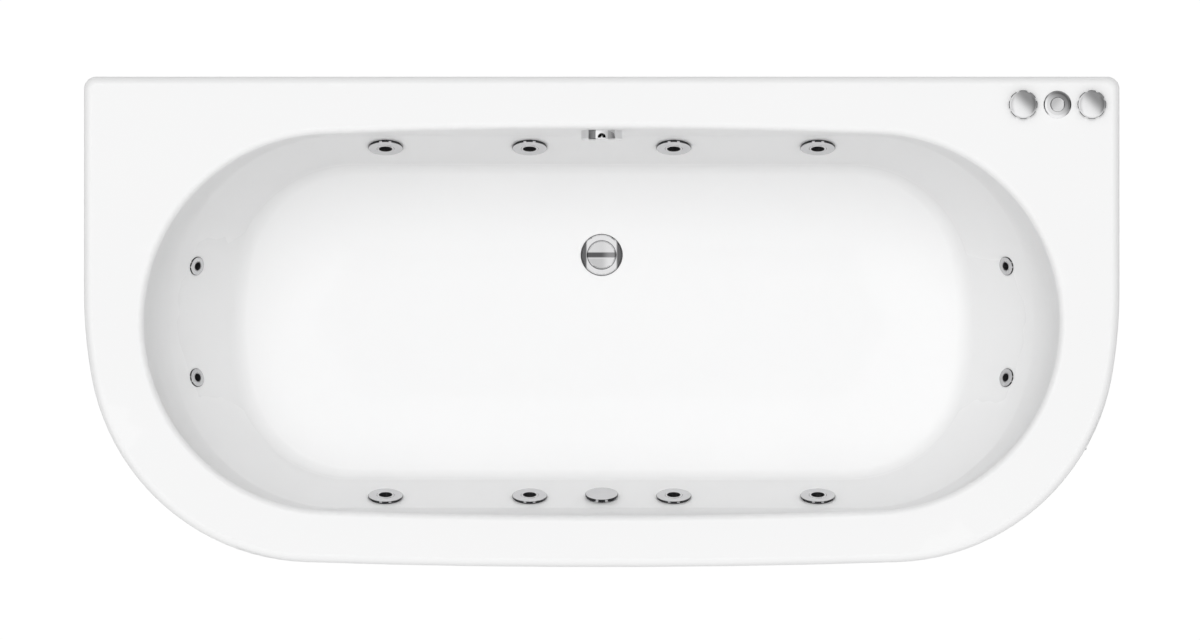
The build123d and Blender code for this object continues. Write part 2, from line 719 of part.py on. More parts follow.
with BuildPart() as large_body:
    with BuildSketch(Plane.XZ):
        with BuildLine():
            Polyline((0, CHAMBER_START), (BARREL, CHAMBER_START), (BARREL, LARGE_CLAMP_FACE),
                     (LARGE_CLAMP, LARGE_CLAMP_FACE),
                     (LARGE_CLAMP, LARGE_CLAMP_FACE - LARGE_CLAMP_THICKNESS),
                     (BARREL, LARGE_CLAMP_FACE - LARGE_CLAMP_THICKNESS),
                     (BARREL, CHAMBER_START - BARREL_LEDGE), (CHAMBER, CHAMBER_START - BARREL_LEDGE),
                     (CHAMBER, CHAMBER_BEVEL - CHAMBER_END), (CHAMBER - CHAMBER_BEVEL, -CHAMBER_END),
                     (0, -CHAMBER_END), close=True)
        make_face()
    revolve(axis=Axis.Z)
    add(cross_tube(SOCKET, LARGE_SOCKET, 0, MAIN_DEPTH))
    with Locations((0, 0, -AIR_DEPTH)):
        Cylinder(AIR_BOSS, AIR_RISE, rotation=(-90, 0, 0), align=(Align.CENTER, Align.CENTER, Align.MIN))
    add(cross_tube(AIR_PIPE + SOCKET_WALL, AIR_SOCKET, AIR_RISE, AIR_DEPTH))

with BuildPart() as small_body:
    with BuildSketch(Plane.XZ):
        with BuildLine():
            Polyline((0, -SMALL_MAIN_DEPTH), (0, SEAT_SINK + CLAMP_FACE),
                     (SMALL_CLAMP, SEAT_SINK + CLAMP_FACE),
                     (SMALL_CLAMP, SEAT_SINK + CLAMP_FACE - SMALL_CLAMP_THICKNESS),
                     (SMALL_BARREL, SEAT_SINK + CLAMP_FACE - SMALL_CLAMP_THICKNESS),
                     (SMALL_BARREL, -SMALL_MAIN_DEPTH), close=True)
        make_face()
    revolve(axis=Axis.Z)
    add(cross_tube(SOCKET, SMALL_SOCKET, 0, SMALL_MAIN_DEPTH))
    with Locations((0, 0, -SMALL_MAIN_DEPTH)):
        Cylinder(AIR_BOSS, SMALL_AIR_RISE, rotation=(-90, 0, 0),
                 align=(Align.CENTER, Align.CENTER, Align.MIN))
    add(cross_tube(AIR_PIPE + SOCKET_WALL, AIR_SOCKET, SMALL_AIR_RISE, SMALL_MAIN_DEPTH))

with BuildPart() as large_hollow:
    Cylinder(LARGE_HOLE, -CHAMBER_START, align=(Align.CENTER, Align.CENTER, Align.MAX))
    Cylinder(CHAMBER - CHAMBER_WALL, CHAMBER_END - CHAMBER_WALL,
             align=(Align.CENTER, Align.CENTER, Align.MAX))

with BuildPart() as small_hollow:
    Cylinder(SMALL_HOLE, SMALL_MAIN_DEPTH, align=(Align.CENTER, Align.CENTER, Align.MAX))

with BuildPart() as jet_bodies:
    with Locations(*LARGE_SEATS):
        add(large_body.part)
        add(large_hollow.part, mode=Mode.SUBTRACT)
    with Locations(*SMALL_SEATS):
        add(small_body.part)
        add(small_hollow.part, mode=Mode.SUBTRACT)

jet_bodies.part.label = "jet_bodies"
export_step(jet_bodies.part, "parts/jet_bodies.step")


# Water main and air rail: round both ends and along the back, open at the front between the inner jets

def loop(half_width, end, corner, level):
    """Path of a pipe that follows the basin, from the front's right inner jet round to its left one."""
    rise = half_width - corner
    across = sqrt((end - corner) ** 2 - rise ** 2)
    lean = degrees(atan2(rise, across))
    corner_x = END_CENTRE + across
    start = JET_PITCH / 2
    with BuildLine(Plane.XY.offset(level)) as path:
        Line((start, -half_width), (corner_x, -half_width))
        CenterArc((corner_x, -rise), corner, -90, 90 - lean)
        CenterArc((END_CENTRE, 0), end, -lean, 2 * lean)
        CenterArc((corner_x, rise), corner, lean, 90 - lean)
        Line((corner_x, half_width), (-corner_x, half_width))
        CenterArc((-corner_x, rise), corner, 90, 90 - lean)
        CenterArc((-END_CENTRE, 0), end, 180 - lean, 2 * lean)
        CenterArc((-corner_x, -rise), corner, 180 + lean, 90 - lean)
        Line((-corner_x, -half_width), (-start, -half_width))
    return path.wire()


def pipe(path, radius):
    """Run of pipe along a path. Fittings close both its ends, so it stays solid inside."""
    with BuildPart() as tube:
        with BuildSketch(Plane(origin=path @ 0, z_dir=path % 0)):
            Circle(radius)
        sweep(path=path)
    return tube.part


BRANCH_X = END_CENTRE + sqrt(MAIN_END ** 2 - PUMP_BRANCH ** 2)
BRANCH_TURN = degrees(asin(PUMP_BRANCH / MAIN_END))
BRANCH = Plane(origin=(BRANCH_X, PUMP_BRANCH, MAIN_LEVEL), x_dir=(sind(BRANCH_TURN), -cosd(BRANCH_TURN), 0),
               z_dir=(cosd(BRANCH_TURN), sind(BRANCH_TURN), 0))

with BuildPart() as water_pipes:
    add(pipe(loop(MAIN_Y, MAIN_END, MAIN_CORNER, MAIN_LEVEL), MAIN))
    with Locations(*LARGE_SEATS):
        add(cross_tube(SOCKET, LARGE_SOCKET, 0, MAIN_DEPTH), mode=Mode.SUBTRACT)
    with Locations(*SMALL_SEATS):
        add(cross_tube(SOCKET, SMALL_SOCKET, 0, SMALL_MAIN_DEPTH), mode=Mode.SUBTRACT)
    with Locations(BRANCH):
        add(cross_tube(SOCKET, SMALL_SOCKET, 0, 0), mode=Mode.SUBTRACT)
    for side in (-1, 1):
        with Locations((side * (JET_PITCH / 2 - LARGE_SOCKET - PORT_CAP / 2), -MAIN_Y, MAIN_LEVEL)):
            Cylinder(SOCKET, PORT_CAP, rotation=(0, 90, 0))

water_pipes.part.label = "water_pipes"
export_step(water_pipes.part, "parts/water_pipes.step")

AIR_CORNER_RISE = AIR_Y - AIR_CORNER
AIR_CORNER_X = END_CENTRE + sqrt((AIR_END - AIR_CORNER) ** 2 - AIR_CORNER_RISE ** 2)
BARB_END = RIM_HEIGHT - SHANK_LENGTH - BARB_LENGTH

with BuildPart() as air_loop:
    add(pipe(loop(AIR_Y, AIR_END, AIR_CORNER, AIR_LEVEL), AIR_PIPE))
    for x, turn in zip((LEFT_CONTROL_X, RIGHT_CONTROL_X), AIR_HOSE_TURNS):
        foot_x = AIR_CORNER_X + AIR_CORNER * cosd(turn)
        foot_y = AIR_CORNER_RISE + AIR_CORNER * sind(turn)
        with BuildLine() as hose_path:
            FilletPolyline((x, CONTROL_Y, BARB_END), (x, CONTROL_Y, AIR_HOSE_TOP),
                           (foot_x, foot_y, AIR_HOSE_FOOT), (foot_x, foot_y, AIR_LEVEL),
                           radius=AIR_HOSE_BEND)
        add(pipe(hose_path.wire(), AIR_HOSE))
    with Locations(*LARGE_SEATS):
        add(cross_tube(AIR_PIPE + SOCKET_WALL, AIR_SOCKET, AIR_RISE, AIR_DEPTH), mode=Mode.SUBTRACT)
    with Locations(*SMALL_SEATS):
        add(cross_tube(AIR_PIPE + SOCKET_WALL, AIR_SOCKET, SMALL_AIR_RISE, SMALL_MAIN_DEPTH),
            mode=Mode.SUBTRACT)

# The highest run, with both hoses from the controls, is a piece of its own
with BuildPart() as air_pipes:
    add(air_loop.solids().sort_by(Axis.Z)[:-1])

air_pipes.part.label = "air_pipes"
export_step(air_pipes.part, "parts/air_pipes.step")

with BuildPart() as air_feed:
    add(air_loop.solids().sort_by(Axis.Z)[-1])

air_feed.part.label = "air_feed"
export_step(air_feed.part, "parts/air_feed.step")


# Suction: a cover over a slotted skirt in the front wall, a chamber behind it, and the pipe to the pump

SUCTION_Y = -JET_HALF_WIDTH - SUCTION_REACH * cosd(SIDE_SLOPE)
SUCTION_LEVEL = RIM_HEIGHT - JET_DEPTH - SUCTION_REACH * sind(SIDE_SLOPE)
SUCTION_PORT = SUCTION_LEVEL - SUCTION_DROP
SUCTION_SLEEVE = SUCTION_HOLE - WALL_FIT
SUCTION_SKIRT_BORE = SUCTION_SKIRT - SUCTION_SKIRT_WALL
SUCTION_COVER_TOP = SUCTION_COVER_LIFT + SUCTION_COVER_THICKNESS

with BuildPart() as suction_cover_form:
    with BuildSketch(Plane.XZ):
        with BuildLine():
            Polyline((0, SUCTION_COVER_LIFT), (SUCTION_SKIRT_BORE, SUCTION_COVER_LIFT),
                     (SUCTION_SKIRT_BORE, SUCTION_FLANGE_THICKNESS),
                     (SUCTION_SKIRT, SUCTION_FLANGE_THICKNESS),
                     (SUCTION_SKIRT, SUCTION_COVER_LIFT - SUCTION_COVER_BEVEL),
                     (SUCTION_COVER, SUCTION_COVER_LIFT - SUCTION_COVER_BEVEL),
                     (SUCTION_COVER, SUCTION_COVER_TOP - SUCTION_COVER_BEVEL),
                     (SUCTION_COVER - SUCTION_COVER_BEVEL, SUCTION_COVER_TOP), (0, SUCTION_COVER_TOP),
                     close=True)
        make_face()
    revolve(axis=Axis.Z)
    with PolarLocations(SUCTION_SKIRT, SUCTION_SLOTS):
        with Locations((0, 0, SUCTION_FLANGE_THICKNESS)):
            Box(4 * SUCTION_SKIRT_WALL, SUCTION_SLOT_WIDTH,
                2 * (SUCTION_COVER_LIFT - SUCTION_SLOT_SILL - SUCTION_FLANGE_THICKNESS), mode=Mode.SUBTRACT)
    Cylinder(SUCTION_FLANGE, SUCTION_FLANGE_THICKNESS, align=(Align.CENTER, Align.CENTER, Align.MIN))
    Cylinder(SUCTION_SLEEVE, 2 * SHELL, align=(Align.CENTER, Align.CENTER, Align.MAX))
    Cylinder(SUCTION_SLEEVE - SUCTION_SKIRT_WALL, 2 * SHELL, mode=Mode.SUBTRACT,
             align=(Align.CENTER, Align.CENTER, Align.MAX))
    Cylinder(SUCTION_SLEEVE - SUCTION_SKIRT_WALL, SUCTION_FLANGE_THICKNESS, mode=Mode.SUBTRACT,
             align=(Align.CENTER, Align.CENTER, Align.MIN))

with BuildPart() as suction_cover:
    with Locations(SUCTION_SEAT):
        add(suction_cover_form.part)

suction_cover.part.label = "suction_cover"
export_step(suction_cover.part, "parts/suction_cover.step")

CHAMBER_DEPTH = SUCTION_REACH + SUCTION_BACK - SHELL - SEAL

with BuildPart() as suction_body:
    with Locations(SUCTION_SEAT.offset(-SHELL - SEAL)):
        Cylinder(SUCTION_CHAMBER, CHAMBER_DEPTH, align=(Align.CENTER, Align.CENTER, Align.MAX))
    with BuildSketch(Plane.XY.offset(SUCTION_PORT)):
        with Locations((0, SUCTION_Y)):
            Circle(SUCTION_PIPE)
    extrude(amount=SUCTION_DROP)
    with Locations(SUCTION_SEAT.offset(-SHELL - SEAL)):
        Cylinder(SUCTION_SLEEVE + THREAD_GAP, 2 * SHELL, mode=Mode.SUBTRACT)
    with Locations(SUCTION_SEAT.offset(-2 * SHELL - SEAL)):
        Cylinder(SUCTION_CHAMBER - CHAMBER_WALL, CHAMBER_DEPTH - CHAMBER_WALL - SHELL,
                 align=(Align.CENTER, Align.CENTER, Align.MAX), mode=Mode.SUBTRACT)
    with BuildSketch(Plane.XY.offset(SUCTION_PORT)):
        with Locations((0, SUCTION_Y)):
            Circle(SUCTION_PIPE - PIPE_WALL)
    extrude(amount=SUCTION_DROP, mode=Mode.SUBTRACT)

suction_body.part.label = "suction_body"
export_step(suction_body.part, "parts/suction_body.step")


# Pump: a spiral casing whose branch feeds the main from below, a rotor, and a finned motor behind it

PUMP_X = BRANCH_X + VOLUTE_START + 3.5 * VOLUTE_GROWTH - VOLUTE_PORT
VOLUTE_FRONT = PUMP_BRANCH - VOLUTE_LENGTH / 2
VOLUTE_BACK = PUMP_BRANCH + VOLUTE_LENGTH / 2
INLET_FRONT = VOLUTE_FRONT - INLET_LENGTH
BRACKET_BACK = VOLUTE_BACK + BRACKET_LENGTH
MOTOR_BACK = BRACKET_BACK + MOTOR_LENGTH
COWL_BACK = MOTOR_BACK + COWL_LENGTH
PORT_TOP = PUMP_HEIGHT + VOLUTE_PORT_TOP


def pump_plane(y):
    """Upright plane across the pump's axis: x to +X, y up, looking in from the inlet."""
    return Plane(origin=(PUMP_X, y, PUMP_HEIGHT), x_dir=(1, 0, 0), z_dir=(0, -1, 0))


def spiral(wall):
    """Four quarter arcs, each larger by the growth, closed across the branch; wall draws it in."""
    step = VOLUTE_GROWTH / 2
    radii = [VOLUTE_START + turn * VOLUTE_GROWTH - wall for turn in range(4)]
    with BuildSketch() as outline:
        with BuildLine() as edge:
            CenterArc((step, step), radii[0], 180, -90)
            CenterArc((step, -step), radii[1], 90, -90)
            CenterArc((-step, -step), radii[2], 0, -90)
            CenterArc((-step, step), radii[3], -90, -90)
            Line((step - radii[0], step), (-step - radii[3], step))
        make_face()
    return outline.sketch


with BuildPart() as suction_pipe:
    with BuildLine() as suction_path:
        FilletPolyline((0, SUCTION_Y, SUCTION_PORT), (0, SUCTION_Y, PUMP_HEIGHT),
                       (PUMP_X, SUCTION_Y, PUMP_HEIGHT), (PUMP_X, INLET_FRONT, PUMP_HEIGHT),
                       radius=[SUCTION_ELBOW, SUCTION_BEND])
    add(pipe(suction_path.wire(), SUCTION_PIPE))

suction_pipe.part.label = "suction_pipe"
export_step(suction_pipe.part, "parts/suction_pipe.step")

with BuildPart() as pump_casing:
    with BuildSketch(pump_plane(VOLUTE_FRONT)):
        add(spiral(0))
        with Locations((BRANCH_X - PUMP_X, VOLUTE_THROAT / 2)):
            Rectangle(2 * VOLUTE_PORT, VOLUTE_THROAT)
    extrude(amount=-VOLUTE_LENGTH)
    with BuildSketch(Plane.XY.offset(PUMP_HEIGHT + VOLUTE_THROAT - 1)):
        with Locations((BRANCH_X, PUMP_BRANCH)):
            Circle(VOLUTE_PORT)
    extrude(amount=VOLUTE_PORT_TOP - VOLUTE_THROAT + 1)
    with BuildSketch(pump_plane(VOLUTE_FRONT)):
        Circle(INLET_NOZZLE)
    extrude(amount=INLET_LENGTH)
    with BuildSketch(pump_plane(VOLUTE_FRONT + VOLUTE_WALL)):
        add(spiral(VOLUTE_WALL))
    extrude(amount=2 * VOLUTE_WALL - VOLUTE_LENGTH, mode=Mode.SUBTRACT)
    with BuildSketch(Plane.XY.offset(PUMP_HEIGHT)):
        with Locations((BRANCH_X, PUMP_BRANCH)):
            Circle(VOLUTE_BORE)
    extrude(amount=VOLUTE_PORT_TOP, mode=Mode.SUBTRACT)
    with BuildSketch(pump_plane(VOLUTE_FRONT + VOLUTE_WALL)):
        Circle(INLET_BORE)
    extrude(amount=INLET_LENGTH + VOLUTE_WALL, mode=Mode.SUBTRACT)
    with BuildSketch(pump_plane(VOLUTE_BACK)):
        Circle(SHAFT + SHAFT_FIT)
    extrude(amount=VOLUTE_WALL, mode=Mode.SUBTRACT)

pump_casing.part.label = "pump_casing"
export_step(pump_casing.part, "parts/pump_casing.step")

IMPELLER_BACK = VOLUTE_BACK - VOLUTE_WALL - IMPELLER_GAP
FAN_FRONT = MOTOR_BACK + REAR_PLATE + FAN_GAP
SHAFT_FRONT = IMPELLER_BACK - DISC_THICKNESS - BLADE_HEIGHT

with BuildSketch() as blade:
    with BuildLine():
        ThreePointArc((SHAFT, 0), (IMPELLER / 2, IMPELLER / 5), (IMPELLER - 1, 0))
    trace(line_width=BLADE_THICKNESS)

with BuildPart() as pump_rotor:
    with BuildSketch(pump_plane(FAN_FRONT + FAN_LENGTH)):
        Circle(SHAFT)
    extrude(amount=FAN_FRONT + FAN_LENGTH - SHAFT_FRONT)
    with BuildSketch(pump_plane(IMPELLER_BACK)):
        Circle(IMPELLER)
    extrude(amount=DISC_THICKNESS)
    with BuildSketch(pump_plane(IMPELLER_BACK)):
        with PolarLocations(0, BLADES):
            add(blade.sketch)
    extrude(amount=DISC_THICKNESS + BLADE_HEIGHT)
    with BuildSketch(pump_plane(FAN_FRONT + FAN_LENGTH)):
        Circle(FAN_HUB)
        with PolarLocations(FAN / 2, FAN_BLADES):
            Rectangle(FAN, BLADE_THICKNESS)
    extrude(amount=FAN_LENGTH)

pump_rotor.part.label = "pump_rotor"
export_step(pump_rotor.part, "parts/pump_rotor.step")

with BuildPart() as motor_housing:
    with BuildSketch(pump_plane(BRACKET_BACK)):
        Circle(BRACKET)
    extrude(amount=BRACKET_LENGTH)
    with BuildSketch(pump_plane(MOTOR_BACK)):
        Circle(MOTOR_CORE)
        with PolarLocations((MOTOR_FIN + MOTOR_CORE - FIN_ROOT) / 2, MOTOR_FINS):
            Rectangle(MOTOR_FIN - MOTOR_CORE + FIN_ROOT, FIN_THICKNESS)
    extrude(amount=MOTOR_LENGTH)
    with BuildSketch(pump_plane(MOTOR_BACK + REAR_PLATE)):
        Circle(COWL - COWL_WALL - TURN_GAP)
    extrude(amount=REAR_PLATE)
    with BuildSketch(Plane.XY.offset(PUMP_HEIGHT)):
        with Locations((PUMP_X, BOX_Y)):
            Rectangle(BOX_WIDTH - 2 * BOX_PAD_INSET, BOX_LENGTH - 2 * BOX_PAD_INSET)
    extrude(amount=MOTOR_FIN + BOX_RISE)
    with BuildSketch(pump_plane(MOTOR_BACK + REAR_PLATE)):
        Circle(SHAFT + SHAFT_FIT)
    extrude(amount=BRACKET_LENGTH + MOTOR_LENGTH + REAR_PLATE, mode=Mode.SUBTRACT)

motor_housing.part.label = "motor_housing"
export_step(motor_housing.part, "parts/motor_housing.step")

with BuildPart() as fan_cowl:
    with BuildSketch(pump_plane(COWL_BACK)):
        Circle(COWL)
    extrude(amount=COWL_LENGTH)
    with BuildSketch(pump_plane(COWL_BACK - COWL_WALL)):
        Circle(COWL - COWL_WALL)
    extrude(amount=COWL_LENGTH - COWL_WALL, mode=Mode.SUBTRACT)
    with BuildSketch(pump_plane(COWL_BACK)):
        with PolarLocations((COWL + FAN_HUB) / 2, COWL_SLOTS):
            SlotOverall(COWL - FAN_HUB - 2 * COWL_RIM, COWL_SLOT_WIDTH)
    extrude(amount=COWL_WALL, mode=Mode.SUBTRACT)

fan_cowl.part.label = "fan_cowl"
export_step(fan_cowl.part, "parts/fan_cowl.step")

BOARD_TOP = RAIL_LEVEL + PUMP_BOARD_THICKNESS

with BuildPart() as motor_cradle:
    for y in CRADLE_Y:
        with BuildSketch(pump_plane(y)):
            with Locations((0, BOARD_TOP - PUMP_HEIGHT)):
                Rectangle(CRADLE_WIDTH, CRADLE_HEIGHT, align=(Align.CENTER, Align.MIN))
            Circle(MOTOR_FIN + CRADLE_FIT, mode=Mode.SUBTRACT)
        extrude(amount=CRADLE_THICKNESS / 2, both=True)

motor_cradle.part.label = "motor_cradle"
export_step(motor_cradle.part, "parts/motor_cradle.step")

BOX_FLOOR = PUMP_HEIGHT + MOTOR_FIN + BOX_RISE

with BuildPart() as terminal_box:
    with BuildSketch(Plane.XY.offset(BOX_FLOOR)):
        with Locations((PUMP_X, BOX_Y)):
            RectangleRounded(BOX_WIDTH, BOX_LENGTH, BOX_CORNER)
    extrude(amount=BOX_HEIGHT)
    chamfer(terminal_box.faces().sort_by(Axis.Z)[-1].edges(), BOX_BEVEL)
    with BuildSketch(Plane.YZ.offset(PUMP_X + BOX_WIDTH / 2)):
        with Locations((BOX_Y, BOX_FLOOR + BOX_HEIGHT / 2)):
            Circle(GLAND)
    extrude(amount=GLAND_LENGTH / 2)
    with BuildSketch(Plane.YZ.offset(PUMP_X + BOX_WIDTH / 2)):
        with Locations((BOX_Y, BOX_FLOOR + BOX_HEIGHT / 2)):
            Circle(GLAND - GLAND_NUT_WALL)
            Circle(GLAND_BORE, mode=Mode.SUBTRACT)
    extrude(amount=GLAND_LENGTH)

terminal_box.part.label = "terminal_box"
export_step(terminal_box.part, "parts/terminal_box.step")

with BuildPart() as discharge_pipe:
    with Locations(BRANCH):
        add(cross_tube(SOCKET, SMALL_SOCKET, 0, 0))
    with BuildSketch(Plane.XY.offset(PORT_TOP)):
        with Locations((BRANCH_X, PUMP_BRANCH)):
            Circle(MAIN)
    extrude(amount=MAIN_LEVEL - PORT_TOP)
    with Locations(BRANCH):
        add(cross_tube(MAIN - PIPE_WALL, SMALL_SOCKET, 0, 0), mode=Mode.SUBTRACT)
    with BuildSketch(Plane.XY.offset(PORT_TOP)):
        with Locations((BRANCH_X, PUMP_BRANCH)):
            Circle(MAIN - PIPE_WALL)
    extrude(amount=MAIN_LEVEL - PORT_TOP, mode=Mode.SUBTRACT)

discharge_pipe.part.label = "discharge_pipe"
export_step(discharge_pipe.part, "parts/discharge_pipe.step")


# Rim controls: two air knobs with the button between them

CONTROL_SHANK = CONTROL_HOLE - WALL_FIT
LEFT_PLANE = Plane((LEFT_CONTROL_X, CONTROL_Y, RIM_HEIGHT))
RIGHT_PLANE = Plane((RIGHT_CONTROL_X, CONTROL_Y, RIM_HEIGHT))
BUTTON_PLANE = Plane((BUTTON_X, CONTROL_Y, RIM_HEIGHT))
KNOB_FOOT = CONTROL_FLANGE_THICKNESS + KNOB_LIFT
DOME = KNOB - KNOB_GRIP

with BuildPart() as knob_form:
    with BuildSketch(Plane.XZ):
        with BuildLine():
            Polyline((0, KNOB_HEIGHT), (0, KNOB_FOOT), (KNOB, KNOB_FOOT), (KNOB, KNOB_EDGE - KNOB_BEVEL),
                     (KNOB - KNOB_BEVEL, KNOB_EDGE), (DOME, KNOB_EDGE))
            TangentArc((0, KNOB_HEIGHT), (DOME, KNOB_EDGE), tangent=(1, 0))
        make_face()
    revolve(axis=Axis.Z)
    with BuildSketch(Plane.XY.offset(KNOB_FOOT)):
        Circle(KNOB - KNOB_WALL - KNOB_GRIP)
        Circle(KNOB_HUB, mode=Mode.SUBTRACT)
    extrude(amount=KNOB_EDGE - KNOB_WALL - KNOB_FOOT, mode=Mode.SUBTRACT)
    with BuildSketch(Plane.XY.offset(KNOB_FOOT)):
        Circle(SPINDLE + SHAFT_FIT)
    extrude(amount=SPINDLE_HEIGHT + SPINDLE_GAP - KNOB_FOOT, mode=Mode.SUBTRACT)
    with BuildSketch(Plane.XY.offset(KNOB_FOOT)):
        with PolarLocations(KNOB + KNOB_GRIP / 3, KNOB_GRIPS, start_angle=22.5):
            Circle(KNOB_GRIP)
    extrude(amount=KNOB_HEIGHT, mode=Mode.SUBTRACT)

for name, plane in (("left", LEFT_PLANE), ("right", RIGHT_PLANE)):
    with BuildPart() as air_knob:
        with Locations(plane):
            add(knob_form.part)
    air_knob.part.label = f"air_knob_{name}"
    export_step(air_knob.part, f"parts/air_knob_{name}.step")

with BuildPart() as control_bodies:
    with Locations(LEFT_PLANE, RIGHT_PLANE):
        Cylinder(CONTROL_FLANGE, CONTROL_FLANGE_THICKNESS, align=(Align.CENTER, Align.CENTER, Align.MIN))
        Cylinder(SPINDLE, SPINDLE_HEIGHT, align=(Align.CENTER, Align.CENTER, Align.MIN))
        Cylinder(CONTROL_SHANK, SHANK_LENGTH, align=(Align.CENTER, Align.CENTER, Align.MAX))
        Cylinder(BARB, SHANK_LENGTH + BARB_LENGTH, align=(Align.CENTER, Align.CENTER, Align.MAX))

control_bodies.part.label = "control_bodies"
export_step(control_bodies.part, "parts/control_bodies.step")

with BuildPart() as button_bezel:
    with BuildSketch(Plane(BUTTON_PLANE.origin, x_dir=(1, 0, 0), z_dir=(0, -1, 0))):
        with BuildLine():
            Polyline((BUTTON + TURN_GAP, BEZEL_HEIGHT), (BEZEL_STEP, BEZEL_HEIGHT),
                     (BEZEL_STEP, BEZEL_EDGE + BEZEL_LIP), (BEZEL - BEZEL_BEVEL, BEZEL_EDGE),
                     (BEZEL, BEZEL_EDGE - BEZEL_BEVEL), (BEZEL, 0), (CONTROL_SHANK, 0),
                     (CONTROL_SHANK, -SHANK_LENGTH), (BUTTON_BARB, -SHANK_LENGTH),
                     (BUTTON_BARB, -SHANK_LENGTH - BUTTON_BARB_LENGTH),
                     (0, -SHANK_LENGTH - BUTTON_BARB_LENGTH),
                     (0, -BUTTON_WELL), (BUTTON + TURN_GAP, -BUTTON_WELL), close=True)
        make_face()
    revolve(axis=Axis(BUTTON_PLANE.origin, (0, 0, 1)))

button_bezel.part.label = "button_bezel"
export_step(button_bezel.part, "parts/button_bezel.step")

with BuildPart() as start_button:
    with BuildSketch(BUTTON_PLANE.offset(BEZEL_HEIGHT + BUTTON_PROUD)):
        Circle(BUTTON)
    extrude(amount=-BUTTON_LENGTH)
    chamfer(start_button.faces().sort_by(Axis.Z)[-1].edges(), BUTTON_BEVEL)

start_button.part.label = "start_button"
export_step(start_button.part, "parts/start_button.step")

with BuildPart() as lock_nuts:
    with BuildSketch(Plane.XY.offset(RIM_HEIGHT - SHELL - LOCK_NUT_THICKNESS)):
        with Locations(*CONTROLS):
            RegularPolygon(LOCK_NUT, 6)
            Circle(CONTROL_SHANK + THREAD_GAP, mode=Mode.SUBTRACT)
    extrude(amount=LOCK_NUT_THICKNESS)

lock_nuts.part.label = "lock_nuts"
export_step(lock_nuts.part, "parts/lock_nuts.step")


# Waste: flange and plug in the floor, a cup below that the overflow joins, and a bottle trap

with BuildPart() as waste_flange:
    with BuildSketch(Plane.XZ):
        with BuildLine():
            Polyline((WASTE_BORE, -WASTE_SLEEVE_DEPTH), (WASTE_SLEEVE, -WASTE_SLEEVE_DEPTH),
                     (WASTE_SLEEVE, 0), (WASTE_FLANGE, 0), (WASTE_FLANGE, WASTE_FLANGE_THICKNESS / 2),
                     (WASTE_FLANGE - WASTE_FLANGE_BEVEL, WASTE_FLANGE_THICKNESS),
                     (WASTE_BORE + WASTE_FLANGE_THICKNESS, WASTE_FLANGE_THICKNESS), (WASTE_BORE, 0),
                     close=True)
        make_face()
    revolve(axis=Axis.Z)
    with BuildSketch(Plane.XY.offset(-HUB_TOP - HUB_HEIGHT)):
        with PolarLocations((HUB + WASTE_BORE) / 2, SPOKES):
            Rectangle(WASTE_SLEEVE - HUB, SPOKE_WIDTH)
        Circle(HUB)
        Circle(STEM + SHAFT_FIT, mode=Mode.SUBTRACT)
    extrude(amount=HUB_HEIGHT)

with BuildPart() as waste_plug:
    with BuildSketch(Plane.XZ):
        with BuildLine():
            foot = PLUG - WASTE_BORE + 2 * PLUG_GAP
            Polyline((0, -STEM_LENGTH), (STEM, -STEM_LENGTH), (STEM, 0), (WASTE_BORE - 2 * PLUG_GAP, 0),
                     (PLUG, foot), (PLUG, PLUG_TOP - PLUG_BEVEL_DROP), (PLUG - PLUG_BEVEL, PLUG_TOP),
                     (0, PLUG_TOP + PLUG_CROWN), close=True)
        make_face()
    revolve(axis=Axis.Z)

for name, form in (("waste_flange", waste_flange), ("waste_plug", waste_plug)):
    with BuildPart() as placed:
        with Locations((0, WASTE_Y, WASTE_SEAT)):
            add(form.part)
    placed.part.label = name
    export_step(placed.part, f"parts/{name}.step")

COLLAR_TOP = UNDERSIDE - WASTE_SEAL

with BuildPart() as waste_body:
    with BuildSketch(Plane.XZ.offset(-WASTE_Y)):
        with BuildLine():
            Polyline((WASTE_SLEEVE + THREAD_GAP, COLLAR_TOP), (WASTE_COLLAR, COLLAR_TOP),
                     (WASTE_COLLAR, COLLAR_TOP - WASTE_COLLAR_THICKNESS),
                     (WASTE_CUP, COLLAR_TOP - WASTE_COLLAR_THICKNESS), (WASTE_CUP, WASTE_CUP_BOTTOM),
                     (TAIL, WASTE_CUP_BOTTOM), (TAIL, TRAP_TOP), (TAIL - TRAP_WALL, TRAP_TOP),
                     (TAIL - TRAP_WALL, WASTE_CUP_BOTTOM + TRAP_WALL),
                     (WASTE_CUP - TRAP_WALL, WASTE_CUP_BOTTOM + TRAP_WALL),
                     (WASTE_CUP - TRAP_WALL, COLLAR_TOP - 2 * WASTE_COLLAR_THICKNESS),
                     (WASTE_SLEEVE + THREAD_GAP, COLLAR_TOP - 2 * WASTE_COLLAR_THICKNESS), close=True)
        make_face()
    revolve(axis=Axis((0, WASTE_Y, 0), (0, 0, 1)))
    with BuildSketch(Plane.XZ.offset(-WASTE_Y - OVERFLOW_INLET)):
        with Locations((0, OVERFLOW_LEVEL)):
            Circle(OVERFLOW_PIPE)
    extrude(amount=OVERFLOW_INLET - WASTE_CUP + TRAP_WALL)
    with BuildSketch(Plane.XZ.offset(-WASTE_Y - OVERFLOW_INLET)):
        with Locations((0, OVERFLOW_LEVEL)):
            Circle(OVERFLOW_PORT_BORE)
    extrude(amount=OVERFLOW_INLET - WASTE_CUP / 2, mode=Mode.SUBTRACT)

waste_body.part.label = "waste_body"
export_step(waste_body.part, "parts/waste_body.step")

